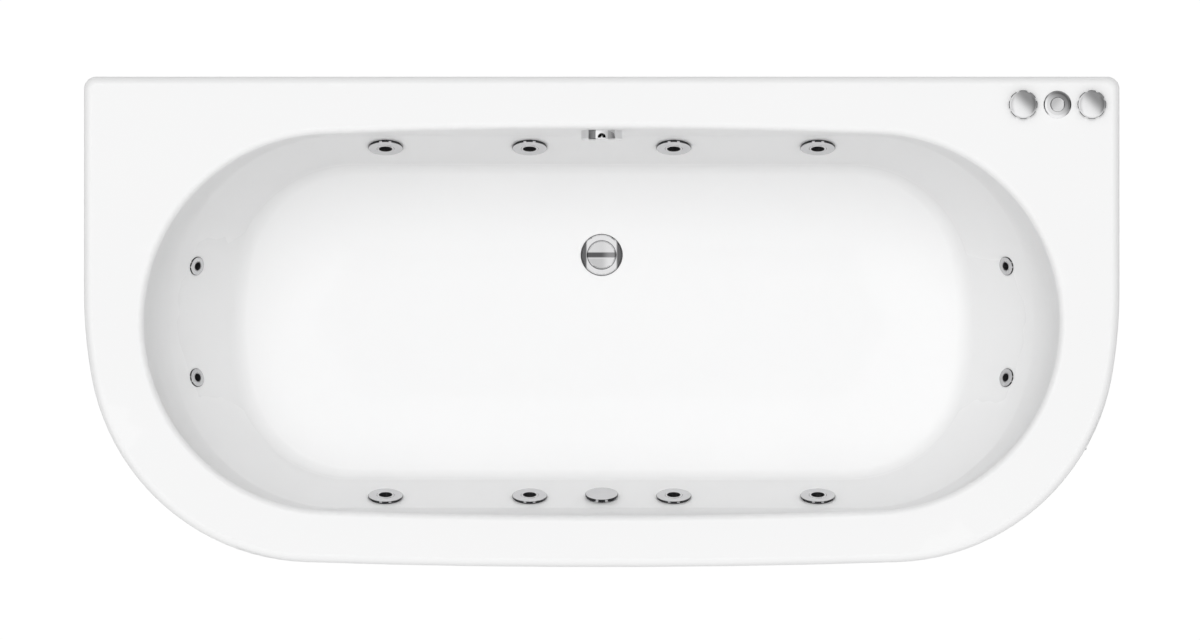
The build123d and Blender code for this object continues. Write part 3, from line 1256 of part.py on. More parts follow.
with BuildPart() as trap:
    with BuildSketch(Plane.XY.offset(TRAP_BOTTOM)):
        with Locations((0, WASTE_Y)):
            Circle(TRAP)
    extrude(amount=TRAP_TOP - TRAP_BOTTOM)
    with BuildSketch(Plane.XZ.offset(-WIDTH / 2)):
        with Locations((0, OUTLET_LEVEL)):
            Circle(OUTLET)
    extrude(amount=WIDTH / 2 - WASTE_Y)
    with BuildSketch(Plane.XZ.offset(-WASTE_Y)):
        with Locations((0, OUTLET_LEVEL)):
            Circle(OUTLET_BOSS)
    extrude(amount=-TRAP - OUTLET_BOSS_LENGTH)
    with BuildSketch(Plane.XY.offset(TRAP_BOTTOM + TRAP_WALL)):
        with Locations((0, WASTE_Y)):
            Circle(TRAP - TRAP_WALL)
    extrude(amount=TRAP_TOP - TRAP_BOTTOM - 2 * TRAP_WALL, mode=Mode.SUBTRACT)
    with BuildSketch(Plane.XZ.offset(-WIDTH / 2)):
        with Locations((0, OUTLET_LEVEL)):
            Circle(OUTLET - TRAP_WALL)
    extrude(amount=WIDTH / 2 - WASTE_Y, mode=Mode.SUBTRACT)
    with BuildSketch(Plane.XY.offset(TRAP_TOP)):
        with Locations((0, WASTE_Y)):
            Circle(TAIL - TRAP_WALL)
    extrude(amount=-TRAP_WALL, mode=Mode.SUBTRACT)

trap.part.label = "trap"
export_step(trap.part, "parts/trap.step")


# Overflow: cover with its inlet notch, an elbow behind the wall, and a pipe down to the waste

with BuildPart() as overflow_cover_form:
    Cylinder(OVERFLOW_COVER, OVERFLOW_COVER_DEPTH, align=(Align.CENTER, Align.CENTER, Align.MIN))
    chamfer(overflow_cover_form.faces().sort_by(Axis.Z)[-1].edges(), OVERFLOW_COVER_BEVEL)
    Cylinder(OVERFLOW_COVER - OVERFLOW_COVER_WALL, OVERFLOW_COVER_DEPTH - OVERFLOW_COVER_WALL,
             align=(Align.CENTER, Align.CENTER, Align.MIN), mode=Mode.SUBTRACT)
    with BuildSketch(Plane.XZ.offset(-OVERFLOW_COVER)):
        with Locations((0, OVERFLOW_COVER_DEPTH)):
            SlotOverall(2 * OVERFLOW_NOTCH_DEPTH, OVERFLOW_NOTCH_WIDTH, rotation=90)
    extrude(amount=OVERFLOW_NOTCH_DROP, mode=Mode.SUBTRACT)

with BuildPart() as overflow_cover:
    with Locations(OVERFLOW_SEAT):
        add(overflow_cover_form.part)

overflow_cover.part.label = "overflow_cover"
export_step(overflow_cover.part, "parts/overflow_cover.step")

OVERFLOW_LEVEL_TOP = RIM_HEIGHT - OVERFLOW_DEPTH
OVERFLOW_PORT_Y = OVERFLOW_Y + OVERFLOW_PORT_REACH
OVERFLOW_PIPE_TOP = OVERFLOW_LEVEL_TOP - OVERFLOW_PORT_DROP
OVERFLOW_PIPE_Y = WIDTH / 2 - OVERFLOW_PIPE_BACK_GAP
ELBOW_FACE = OVERFLOW_SEAT.offset(SEAT_SINK - OUTER_SEAT - SEAL)

with BuildPart() as overflow_elbow:
    with Locations(ELBOW_FACE):
        Cylinder(OVERFLOW_CHAMBER, OVERFLOW_CHAMBER_DEPTH, align=(Align.CENTER, Align.CENTER, Align.MAX))
        Cylinder(OVERFLOW_COVER, OVERFLOW_COLLAR_THICKNESS, align=(Align.CENTER, Align.CENTER, Align.MAX))
    with BuildSketch(Plane.XY.offset(OVERFLOW_PIPE_TOP)):
        with Locations((0, OVERFLOW_PORT_Y)):
            Circle(OVERFLOW_PIPE)
    extrude(amount=OVERFLOW_PORT_DROP)
    with Locations(ELBOW_FACE):
        Cylinder(OVERFLOW_HOLE, OVERFLOW_CHAMBER_DEPTH - CHAMBER_WALL,
                 align=(Align.CENTER, Align.CENTER, Align.MAX), mode=Mode.SUBTRACT)
    with BuildSketch(Plane.XY.offset(OVERFLOW_PIPE_TOP)):
        with Locations((0, OVERFLOW_PORT_Y)):
            Circle(OVERFLOW_PORT_BORE)
    extrude(amount=OVERFLOW_PORT_DROP, mode=Mode.SUBTRACT)

overflow_elbow.part.label = "overflow_elbow"
export_step(overflow_elbow.part, "parts/overflow_elbow.step")

with BuildPart() as overflow_pipe:
    with BuildLine() as overflow_path:
        FilletPolyline((0, OVERFLOW_PORT_Y, OVERFLOW_PIPE_TOP),
                       (0, OVERFLOW_PORT_Y, OVERFLOW_PIPE_SHIFT[0]),
                       (0, OVERFLOW_PIPE_Y, OVERFLOW_PIPE_SHIFT[1]), (0, OVERFLOW_PIPE_Y, OVERFLOW_LEVEL),
                       (0, WASTE_Y + OVERFLOW_INLET, OVERFLOW_LEVEL), radius=OVERFLOW_PIPE_BENDS)
    add(pipe(overflow_path.wire(), OVERFLOW_PIPE))

overflow_pipe.part.label = "overflow_pipe"
export_step(overflow_pipe.part, "parts/overflow_pipe.step")

with BuildPart() as seals:
    add(jet_seals.part)
    with Locations(SUCTION_SEAT.offset(-SHELL)):
        Cylinder(SUCTION_CHAMBER, SEAL, align=(Align.CENTER, Align.CENTER, Align.MAX))
        Cylinder(SUCTION_HOLE, 3 * SEAL, mode=Mode.SUBTRACT)
    with Locations(OVERFLOW_SEAT.offset(SEAT_SINK - OUTER_SEAT)):
        Cylinder(OVERFLOW_COVER, SEAL, align=(Align.CENTER, Align.CENTER, Align.MAX))
        Cylinder(OVERFLOW_HOLE, 3 * SEAL, mode=Mode.SUBTRACT)
    with Locations((0, WASTE_Y, UNDERSIDE)):
        Cylinder(WASTE_COLLAR, WASTE_SEAL, align=(Align.CENTER, Align.CENTER, Align.MAX))
        Cylinder(WASTE_SLEEVE + WALL_FIT, 3 * WASTE_SEAL, mode=Mode.SUBTRACT)

seals.part.label = "seals"
export_step(seals.part, "parts/seals.step")


# Union nuts at the pump's inlet and branch, at both ends of the overflow's pipe, and on the trap

def union_nut(outer, near_bore, far_bore):
    """Eight-sided nut over a joint: the near half fits the fixed end, the far half the pipe."""
    with BuildPart() as nut:
        with BuildSketch():
            RegularPolygon(outer, 8)
            Circle(near_bore + THREAD_GAP, mode=Mode.SUBTRACT)
        extrude(amount=-NUT_LENGTH / 2)
        with BuildSketch():
            RegularPolygon(outer, 8)
            Circle(far_bore + THREAD_GAP, mode=Mode.SUBTRACT)
        extrude(amount=NUT_LENGTH / 2)
    return nut.part


with BuildPart() as union_nuts:
    with Locations(pump_plane(INLET_FRONT)):
        add(union_nut(INLET_NOZZLE + NUT_WALL, INLET_NOZZLE, SUCTION_PIPE))
    with Locations((BRANCH_X, PUMP_BRANCH, PORT_TOP)):
        add(union_nut(VOLUTE_PORT + NUT_WALL, VOLUTE_PORT, MAIN))
    with Locations(Plane((0, OVERFLOW_PORT_Y, OVERFLOW_PIPE_TOP), z_dir=(0, 0, -1)),
                   Plane((0, WASTE_Y + OVERFLOW_INLET, OVERFLOW_LEVEL), z_dir=(0, 1, 0))):
        add(union_nut(OVERFLOW_PIPE + NUT_WALL, OVERFLOW_PIPE, OVERFLOW_PIPE))
    with BuildSketch(Plane.XY.offset(TRAP_TOP)):
        with Locations((0, WASTE_Y)):
            RegularPolygon(TAIL + NUT_WALL, 8)
            Circle(TAIL + THREAD_GAP, mode=Mode.SUBTRACT)
    extrude(amount=NUT_LENGTH)
    with BuildSketch(Plane.XZ.offset(-WASTE_Y - TRAP - OUTLET_BOSS_LENGTH)):
        with Locations((0, OUTLET_LEVEL)):
            RegularPolygon(OUTLET_BOSS + NUT_WALL, 8)
            Circle(OUTLET_BOSS + THREAD_GAP, mode=Mode.SUBTRACT)
    extrude(amount=NUT_LENGTH)

union_nuts.part.label = "union_nuts"
export_step(union_nuts.part, "parts/union_nuts.step")


# Frame: a timber ring under the rim on four posts, a baseboard on bearers, and a steel base on feet

RIM_PLATE_UNDER = RIM_HEIGHT - SHELL
RAIL_TOP = RAIL_LEVEL + RAIL
POST_Y = MAIN_Y + MAIN + POST_GAP + POST / 2

with BuildPart() as rim_frame:
    with BuildSketch(Plane.XY.offset(RIM_PLATE_UNDER - BOARD)):
        add(rim_outline(RIM_TIMBER_INSET))
        add(rim_outline(RIM_TIMBER_INSET + RIM_TIMBER_WIDTH), mode=Mode.SUBTRACT)
        with Locations(((LEFT_CONTROL_X + RIGHT_CONTROL_X) / 2, CONTROL_Y)):
            Rectangle(RIGHT_CONTROL_X - LEFT_CONTROL_X + 2 * CONTROL_NOTCH, 2 * CONTROL_NOTCH,
                      mode=Mode.SUBTRACT)
    extrude(amount=BOARD)

rim_frame.part.label = "rim_frame"
export_step(rim_frame.part, "parts/rim_frame.step")

with BuildPart() as rim_posts:
    with BuildSketch(Plane.XY.offset(RAIL_LEVEL)):
        with GridLocations(2 * POST_X, 2 * POST_Y, 2, 2):
            Rectangle(POST, POST)
    extrude(amount=RIM_PLATE_UNDER - BOARD - RAIL_LEVEL)

rim_posts.part.label = "rim_posts"
export_step(rim_posts.part, "parts/rim_posts.step")

with BuildPart() as baseboard:
    with BuildSketch(Plane.XY.offset(UNDERSIDE - BOARD)):
        RectangleRounded(BOARD_LENGTH, BOARD_WIDTH, BOARD_HOLE)
        with Locations((0, WASTE_Y)):
            Circle(BOARD_HOLE, mode=Mode.SUBTRACT)
    extrude(amount=BOARD)

baseboard.part.label = "baseboard"
export_step(baseboard.part, "parts/baseboard.step")

with BuildPart() as bearers:
    with BuildSketch(Plane.XY.offset(RAIL_TOP)):
        with Locations(*[(side * x, 0) for x in BEARER_X for side in (-1, 1)]):
            Rectangle(BEARER_WIDTH, BOARD_WIDTH)
    extrude(amount=UNDERSIDE - BOARD - RAIL_TOP)

bearers.part.label = "bearers"
export_step(bearers.part, "parts/bearers.step")

with BuildPart() as base_frame:
    with BuildSketch(Plane.YZ.offset(-RAIL_LEFT)):
        with Locations((-RAIL_Y, RAIL_LEVEL + RAIL / 2), (RAIL_Y, RAIL_LEVEL + RAIL / 2)):
            Rectangle(RAIL, RAIL)
            Rectangle(RAIL - 2 * RAIL_WALL, RAIL - 2 * RAIL_WALL, mode=Mode.SUBTRACT)
    extrude(amount=RAIL_LEFT + RAIL_RIGHT)
    for x, reach in [(-POST_X, POST_Y + POST / 2), (POST_X, POST_Y + POST / 2),
                     (PUMP_CROSS_X[0], RAIL_Y + RAIL / 2), (PUMP_CROSS_X[1], RAIL_Y + RAIL / 2)]:
        with BuildSketch(Plane.XZ.offset(-reach)):
            with Locations((x, RAIL_LEVEL - RAIL / 2)):
                Rectangle(RAIL, RAIL)
                Rectangle(RAIL - 2 * RAIL_WALL, RAIL - 2 * RAIL_WALL, mode=Mode.SUBTRACT)
        extrude(amount=2 * reach)
    with Locations(*[(x, side * RAIL_Y, RAIL_LEVEL) for x in FOOT_X for side in (-1, 1)]):
        Cylinder(FOOT_ROD + THREAD_GAP, 3 * RAIL, mode=Mode.SUBTRACT)

base_frame.part.label = "base_frame"
export_step(base_frame.part, "parts/base_frame.step")

with BuildPart() as pump_board:
    with BuildSketch(Plane.XY.offset(RAIL_LEVEL)):
        with Locations((PUMP_X, (PUMP_BOARD_BACK + PUMP_BOARD_FRONT) / 2)):
            RectangleRounded(PUMP_BOARD_WIDTH, PUMP_BOARD_BACK - PUMP_BOARD_FRONT, PUMP_BOARD_CORNER)
    extrude(amount=PUMP_BOARD_THICKNESS)

pump_board.part.label = "pump_board"
export_step(pump_board.part, "parts/pump_board.step")


# Feet: threaded rods through the rails, each with a nut below and above and a pad

FEET = [(x, side * RAIL_Y) for x in FOOT_X for side in (-1, 1)]

with BuildPart() as foot_rods:
    with BuildSketch(Plane.XY.offset(FOOT_SOCKET)):
        with Locations(*FEET):
            Circle(FOOT_ROD)
    extrude(amount=FOOT_ROD_TOP - FOOT_SOCKET)

foot_rods.part.label = "foot_rods"
export_step(foot_rods.part, "parts/foot_rods.step")

with BuildPart() as foot_nuts:
    for level in (RAIL_LEVEL - FOOT_NUT_HEIGHT, RAIL_TOP):
        with BuildSketch(Plane.XY.offset(level)):
            with Locations(*FEET):
                RegularPolygon(FOOT_NUT, 6)
                Circle(FOOT_ROD + THREAD_GAP, mode=Mode.SUBTRACT)
        extrude(amount=FOOT_NUT_HEIGHT)

foot_nuts.part.label = "foot_nuts"
export_step(foot_nuts.part, "parts/foot_nuts.step")

with BuildPart() as foot_pads:
    with BuildSketch():
        with Locations(*FEET):
            Circle(FOOT_PAD)
    extrude(amount=FOOT_PAD_HEIGHT, taper=FOOT_PAD_TAPER)
    with BuildSketch():
        with Locations(*FEET):
            Circle(FOOT_BOSS)
    extrude(amount=FOOT_BOSS_TOP)
    with BuildSketch(Plane.XY.offset(FOOT_SOCKET)):
        with Locations(*FEET):
            Circle(FOOT_ROD + THREAD_GAP)
    extrude(amount=FOOT_BOSS_TOP, mode=Mode.SUBTRACT)

foot_pads.part.label = "foot_pads"
export_step(foot_pads.part, "parts/foot_pads.step")
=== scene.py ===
import math

import bpy
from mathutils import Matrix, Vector


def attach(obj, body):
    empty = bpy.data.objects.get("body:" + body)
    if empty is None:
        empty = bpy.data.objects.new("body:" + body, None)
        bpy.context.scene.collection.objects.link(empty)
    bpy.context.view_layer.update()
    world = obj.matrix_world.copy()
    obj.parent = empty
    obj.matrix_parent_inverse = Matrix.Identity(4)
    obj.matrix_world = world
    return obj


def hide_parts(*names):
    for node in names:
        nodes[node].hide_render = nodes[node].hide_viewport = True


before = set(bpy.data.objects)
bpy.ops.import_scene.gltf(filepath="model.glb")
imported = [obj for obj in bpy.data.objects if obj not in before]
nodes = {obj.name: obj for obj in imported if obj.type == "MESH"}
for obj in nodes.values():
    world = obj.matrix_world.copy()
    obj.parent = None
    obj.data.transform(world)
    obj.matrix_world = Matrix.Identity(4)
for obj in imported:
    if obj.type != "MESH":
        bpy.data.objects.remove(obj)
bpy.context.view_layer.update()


# Bath shell
# One sheet of cast white acrylic, heated and drawn over a mould, so its face is glossy and softly rounded.
# Its underside is sprayed with glass fibre and resin, which dries to a rough, cloudy off-white skin.

class Signal:
    """One output of a shader node, so that sums of outputs and numbers add their Math nodes."""

    def __init__(self, tree, socket):
        self.tree = tree
        self.socket = socket

    def node(self, kind, settings, sockets, output=0):
        made = self.tree.nodes.new(kind)
        for name, value in settings.items():
            setattr(made, name, value)
        for name, value in sockets.items():
            if isinstance(value, Signal):
                self.tree.links.new(value.socket, made.inputs[name])
            else:
                made.inputs[name].default_value = value
        return Signal(self.tree, made.outputs[output])

    def maths(self, operation, *values):
        return self.node("ShaderNodeMath", {"operation": operation}, dict(enumerate(values)))

    def __add__(self, other):
        return self.maths("ADD", self, other)

    def __radd__(self, other):
        return self.maths("ADD", other, self)

    def __sub__(self, other):
        return self.maths("SUBTRACT", self, other)

    def __rsub__(self, other):
        return self.maths("SUBTRACT", other, self)

    def __mul__(self, other):
        return self.maths("MULTIPLY", self, other)

    def __rmul__(self, other):
        return self.maths("MULTIPLY", other, self)

    def __mod__(self, other):
        return self.maths("FLOORED_MODULO", self, other)

    def __abs__(self):
        return self.maths("ABSOLUTE", self)

    def axis(self, letter):
        return self.node("ShaderNodeSeparateXYZ", {}, {0: self}, letter)

    def between(self, low, high):
        return self.node("ShaderNodeMapRange", {"interpolation_type": "SMOOTHSTEP"},
                         {"Value": self, "From Min": low, "From Max": high})

    def clouds(self, size, detail):
        return self.node("ShaderNodeTexNoise", {}, {"Vector": self, "Scale": 1 / size, "Detail": detail})

    def cells(self, size, output="Distance"):
        return self.node("ShaderNodeTexVoronoi", {}, {"Vector": self, "Scale": 1 / size}, output)

    def stretched(self, scale):
        return self.node("ShaderNodeMapping", {}, {"Vector": self, "Scale": scale})

    def cover(self, under, over):
        return self.node("ShaderNodeMix", {"data_type": "RGBA"}, {0: self, 6: under, 7: over}, 2)

    def tint(self, low, high):
        return self.cover((*low, 1), (*high, 1))


def start_finish(name):
    material = bpy.data.materials.new(name)
    material.use_nodes = True
    tree = material.node_tree
    return material, Signal(tree, tree.nodes.new("ShaderNodeTexCoord").outputs["Object"])


def end_finish(material, values, relief, height):
    tree = material.node_tree
    shader = tree.nodes["Principled BSDF"]
    values["Normal"] = relief.node("ShaderNodeBump", {}, {"Height": relief, "Distance": height})
    for name, value in values.items():
        if isinstance(value, Signal):
            tree.links.new(value.socket, shader.inputs[name])
        else:
            shader.inputs[name].default_value = value


def coat(material, *names):
    for name in names:
        for slot in nodes[name].material_slots:
            slot.material = material


MERGE_DISTANCE = 0.00001
SMOOTH_ANGLE = 35
ACRYLIC_WHITE = (0.90, 0.90, 0.90)
ACRYLIC_SHADE = (0.885, 0.886, 0.888)
FIBRE_PALE = (0.72, 0.70, 0.63)
FIBRE_DEEP = (0.52, 0.49, 0.41)
RIPPLE_SIZE = 0.35
FIBRE_SIZE = 0.004
RESIN_SIZE = 0.05
FIBRE_RELIEF = 0.0009
UNDERSIDE_TILT = (0.02, 0.06)
WALL_TILT = (0.15, 0.75)

bpy.ops.object.select_all(action="DESELECT")
bath = bpy.data.objects.new("bath", nodes["bath_shell"].data.copy())
bpy.context.scene.collection.objects.link(bath)
bpy.context.view_layer.objects.active = bath
bath.select_set(True)
bpy.ops.object.mode_set(mode="EDIT")
bpy.ops.mesh.select_all(action="SELECT")
bpy.ops.mesh.remove_doubles(threshold=MERGE_DISTANCE)
bpy.ops.mesh.customdata_custom_splitnormals_clear()
bpy.ops.object.mode_set(mode="OBJECT")
bpy.ops.object.shade_smooth_by_angle(angle=math.radians(SMOOTH_ANGLE))
bath.modifiers.new("even_light", "WEIGHTED_NORMAL").keep_sharp = True
bpy.ops.object.modifier_apply(modifier="even_light")

acrylic, place = start_finish("acrylic_on_glass_fibre")
geometry = place.tree.nodes.new("ShaderNodeNewGeometry")
upward = Signal(place.tree, geometry.outputs["Normal"]).axis("Z")
underside = (0.0 - upward).between(*UNDERSIDE_TILT)
steep = 1 - upward.between(*WALL_TILT)
ripple = place.clouds(RIPPLE_SIZE, 3)
fibres = place.clouds(FIBRE_SIZE, 6)
resin = place.clouds(RESIN_SIZE, 4)
white = ripple.tint(ACRYLIC_SHADE, ACRYLIC_WHITE)
skin = (0.55 * fibres + 0.45 * resin).between(0.35, 0.65).tint(FIBRE_DEEP, FIBRE_PALE)
skin_roughness = 0.45 + 0.3 * fibres
white_roughness = 0.22 + 0.05 * ripple + 0.25 * steep
end_finish(acrylic, {
    "Base Color": underside.cover(white, skin),
    "Roughness": underside * skin_roughness + (1 - underside) * white_roughness,
}, underside * (0.6 * fibres + resin), FIBRE_RELIEF)
for slot in bath.material_slots:
    slot.material = acrylic
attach(bath, "tub")
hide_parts("bath_shell")


# Water jets
# Eight large and four small faces of chromed plastic, screwed on through the wall to fittings behind it.
# Each holds a ball nozzle, chromed in front and black in its bore, and a large face turns to set the flow.

# The jets' and suction cover's chrome is painted darker than the same plating on the rim and floor pieces,
# a painted shade.
CHROME_SHADED_PALE = (0.65, 0.65, 0.655)
CHROME_SHADED_DEEP = (0.57, 0.57, 0.58)
# The dark colour of the painted reflections on the chrome, laid where the plating would mirror the dark
# side of the room.
PAINTED_REFLECTION_DARK = (0.05, 0.05, 0.053, 1)
CHROME_ROUGHNESS = 0.05
SMEAR_SIZE = 0.018
SWELL_SIZE = 0.03
SWELL_RELIEF = 0.00004
JET_PITCH = 0.24
WALL_SEAT_Y = 0.293
WALL_SEAT_Z = 0.272
WALL_WAY = (0, -0.9304, 0.3665)
END_SEAT_X = 0.675
END_SEAT_Y = 0.0931
END_SEAT_Z = 0.2716
END_WAY = (-0.7247, -0.1644, 0.6691)
END_LEVEL_X = 0.2212
END_LEVEL_Y = -0.9752
RING_EDGE = (0.0284, 0.0288)
RING_HIGHLIGHT = 0.0078
RING_HIGHLIGHT_HALF = 0.0022
FITTING_EDGE = (0.0147, 0.0151)
FITTING_HIGHLIGHT = 0.0040
FITTING_HIGHLIGHT_HALF = 0.0011
HIGHLIGHT_BLUR = 0.0004


def off_axis(x, y, z, way):
    offset = x.node("ShaderNodeCombineXYZ", {}, {"X": x, "Y": y, "Z": z})
    across = x.node("ShaderNodeVectorMath", {"operation": "CROSS_PRODUCT"}, {0: offset, 1: way}, "Vector")
    return x.node("ShaderNodeVectorMath", {"operation": "LENGTH"}, {0: across}, "Value")


def wall_reach(along, place):
    return off_axis(along, abs(place.axis("Y")) - WALL_SEAT_Y, place.axis("Z") - WALL_SEAT_Z, WALL_WAY)


def jet_along(place):
    return place.axis("X") % JET_PITCH - JET_PITCH / 2


def jet_reach(place):
    return wall_reach(jet_along(place), place)


def end_offset(place):
    return abs(place.axis("X")) - END_SEAT_X, abs(place.axis("Y")) - END_SEAT_Y


def end_reach(place):
    return off_axis(*end_offset(place), place.axis("Z") - END_SEAT_Z, END_WAY)


# 1 along a painted reflection band, and 0 in two painted highlights that break it near its middle.
def outside_painted_highlights(along, distance, half):
    return abs(abs(along) - distance).between(half - HIGHLIGHT_BLUR, half + HIGHLIGHT_BLUR)


# Chrome plating, with a painted reflection laid over it in dark where the given mask is 1.
def chromed(name, deep, pale, shade):
    material, place = start_finish(name)
    smear = place.clouds(SMEAR_SIZE, 4)
    end_finish(material, {
        "Base Color": shade(place).cover(smear.tint(deep, pale), PAINTED_REFLECTION_DARK),
        "Metallic": 1.0,
        "Roughness": CHROME_ROUGHNESS + CHROME_ROUGHNESS * smear,
    }, place.clouds(SWELL_SIZE, 2), SWELL_RELIEF)
    return material


# A painted reflection: a dark band round the large rings' edges, broken by two painted highlights.
def ring_painted_reflection(place):
    return jet_reach(place).between(*RING_EDGE) * outside_painted_highlights(jet_along(place), RING_HIGHLIGHT, RING_HIGHLIGHT_HALF)


# A painted reflection: a dark band round the small jets' flanges, broken by two painted highlights.
def fitting_painted_reflection(place):
    x, y = end_offset(place)
    along = END_LEVEL_X * x + END_LEVEL_Y * y
    return end_reach(place).between(*FITTING_EDGE) * outside_painted_highlights(along, FITTING_HIGHLIGHT, FITTING_HIGHLIGHT_HALF)


RINGS = [f"jet_ring_{side}_{count}" for side in ("back", "front") for count in range(1, 5)]
coat(chromed("chrome_rings", CHROME_SHADED_DEEP, CHROME_SHADED_PALE, ring_painted_reflection), *RINGS)
coat(chromed("chrome_fittings", CHROME_SHADED_DEEP, CHROME_SHADED_PALE, fitting_painted_reflection), "jet_fittings")

NOZZLE_BLACK = (0.018, 0.018, 0.019)
NOZZLE_WORN = (0.05, 0.05, 0.052)
NOZZLE_CHROME = (*CHROME_SHADED_PALE, 1)
SCUFF_SIZE = 0.003
SCUFF_RELIEF = 0.00004
LARGE_BORE = 0.0111
SMALL_BORE = 0.0069
BORE_BLUR = 0.0005


def nozzle_finish(name, reach, bore):
    material, place = start_finish(name)
    scuff = place.clouds(SCUFF_SIZE, 4)
    face = reach(place).between(bore, bore + BORE_BLUR)
    black = scuff.between(0.4, 0.75).tint(NOZZLE_BLACK, NOZZLE_WORN)
    end_finish(material, {
        "Base Color": face.cover(black, NOZZLE_CHROME),
        "Metallic": face,
        "Roughness": 0.08 * face + (1 - face) * (0.28 + 0.25 * scuff),
    }, scuff, SCUFF_RELIEF)
    return material


jet_plastic = nozzle_finish("jet_nozzle_plastic", jet_reach, LARGE_BORE)
end_plastic = nozzle_finish("end_nozzle_plastic", end_reach, SMALL_BORE)
coat(jet_plastic, *[name for name in nodes if "jet_nozzle" in name])
coat(end_plastic, *[name for name in nodes if "end_nozzle" in name])


# Suction cover
# A round chromed cap on a slotted skirt, which clips over the pump's intake in the front wall.

SUCTION_EDGE = (0.0263, 0.0268)
SUCTION_HIGHLIGHT = 0.0078
SUCTION_HIGHLIGHT_HALF = 0.0021


# A painted reflection: a dark band round the cap's edge, broken by two painted highlights.
def suction_painted_reflection(place):
    along = place.axis("X")
    return wall_reach(along, place).between(*SUCTION_EDGE) * outside_painted_highlights(along, SUCTION_HIGHLIGHT, SUCTION_HIGHLIGHT_HALF)


coat(chromed("chrome_suction", CHROME_SHADED_DEEP, CHROME_SHADED_PALE, suction_painted_reflection), "suction_cover")


# Overflow cover
# A chromed cap that is pushed over the overflow's collar, with an arched notch below for the water.
# Two dark bands on its round side and darker ends are painted reflections, placed in the colour of its
# plating.

# The rim and floor pieces' chrome is painted lighter than the same plating on the jets, painted light.
CHROME_LIT_PALE = (0.92, 0.92, 0.925)
CHROME_LIT_DEEP = (0.85, 0.85, 0.86)
BAND_START = (0.0095, 0.0105)
BAND_END = (0.0205, 0.0225)
BAND_DARKNESS = 0.78
BAND_EASED = 0.5
BAND_TURN = (-0.004, 0.004)
COVER_ENDS = (0.02, 0.03)
COVER_ENDS_DARKNESS = 0.15


def overflow_painted_reflection(place):
    x = place.axis("X")
    bands = abs(x).between(*BAND_START) * (1 - abs(x).between(*BAND_END))
    darkness = BAND_DARKNESS - BAND_EASED * x.between(*BAND_TURN)
    return bands * darkness + COVER_ENDS_DARKNESS * abs(x).between(*COVER_ENDS)


coat(chromed("chrome_overflow", CHROME_LIT_DEEP, CHROME_LIT_PALE, overflow_painted_reflection), "overflow_cover")


# Waste flange and plug
# A turned and chromed brass flange is screwed down on the floor's drain, and its plug lifts on a stem.
# A dark outline, crescents and a band on their turned faces are painted reflections, placed in the colour
# of the plating, and the plug's left and lower side are painted darker as well.

WASTE_AXIS = 0.112
FLANGE_OUTLINE = (0.0336, 0.0342)
FLANGE_OUTLINE_DARKNESS = 0.93
CRESCENT_START = (0.0235, 0.027)
CRESCENT_DARKNESS = 0.88
PLUG_BAND = (0.003, 0.0055)
PLUG_BAND_DARKNESS = 0.66
PLUG_BAND_LEFT = 0.26
PLUG_MIDDLE = (-0.002, 0.014)
PLUG_BELOW = (-0.008, -0.004)
PLUG_LEFT_DARKNESS = 0.12
PLUG_BELOW_DARKNESS = 0.2


def past_radius(x, y, inner, outer):
    return (x * x + y * y).between(inner ** 2, outer ** 2)


def flange_painted_reflection(place):
    x, y = place.axis("X"), place.axis("Y") - WASTE_AXIS
    outline = past_radius(x, y, *FLANGE_OUTLINE)
    crescents = CRESCENT_DARKNESS * abs(x).between(*CRESCENT_START)
    return FLANGE_OUTLINE_DARKNESS * outline + (1 - outline) * crescents


def plug_painted_reflection(place):
    x, y = place.axis("X"), place.axis("Y") - WASTE_AXIS
    band = 1 - abs(y).between(*PLUG_BAND)
    left = 1 - x.between(*PLUG_MIDDLE)
    below = 1 - y.between(*PLUG_BELOW)
    in_band = PLUG_BAND_DARKNESS + PLUG_BAND_LEFT * left
    return band * in_band + (1 - band) * left * (PLUG_LEFT_DARKNESS + PLUG_BELOW_DARKNESS * below)


coat(chromed("chrome_flange", CHROME_LIT_DEEP, CHROME_LIT_PALE, flange_painted_reflection), "waste_flange")
coat(chromed("chrome_plug", CHROME_LIT_DEEP, CHROME_LIT_PALE, plug_painted_reflection), "waste_plug")


# Air knobs
# Two chromed knobs with finger grips on the rim, which turn to mix air into the jets.
# Their tops are painted darker towards the back right, and a dark line is painted round their edge, both
# painted reflections.

CONTROL_X = 0.7477
CONTROL_Y = 0.3565
KNOB_OFFSET = 0.0563
KNOB_OUTLINE = (0.0222, 0.0226)
KNOB_OUTLINE_DARKNESS = 0.9
KNOB_STEP = (0.0198, 0.0204)
KNOB_STEP_SPREAD = (-0.014, 0.026)
KNOB_STEP_DARKNESS = 0.72
KNOB_DOME_SPREAD = (-0.026, 0.020)
KNOB_DOME_DARKNESS = 0.35


def knob_painted_reflection(place):
    x = (place.axis("X") - CONTROL_X) % (2 * KNOB_OFFSET) - KNOB_OFFSET
    y = place.axis("Y") - CONTROL_Y
    outline = past_radius(x, y, *KNOB_OUTLINE)
    step = past_radius(x, y, *KNOB_STEP)
    on_step = KNOB_STEP_DARKNESS * step * (x + y).between(*KNOB_STEP_SPREAD)
    on_dome = (1 - step) * KNOB_DOME_DARKNESS * (x + y).between(*KNOB_DOME_SPREAD)
    return KNOB_OUTLINE_DARKNESS * outline + (1 - outline) * (on_step + on_dome)


coat(chromed("chrome_knobs", CHROME_LIT_DEEP, CHROME_LIT_PALE, knob_painted_reflection), "air_knob_left", "air_knob_right")


# Start button
# A flat chromed button in a sloping bezel, which is pressed in to switch the pump.
# The bezel and button are painted darker in gradients like the knobs, painted reflections, and a thin dark
# line round the button is a painted shade between button and bezel.

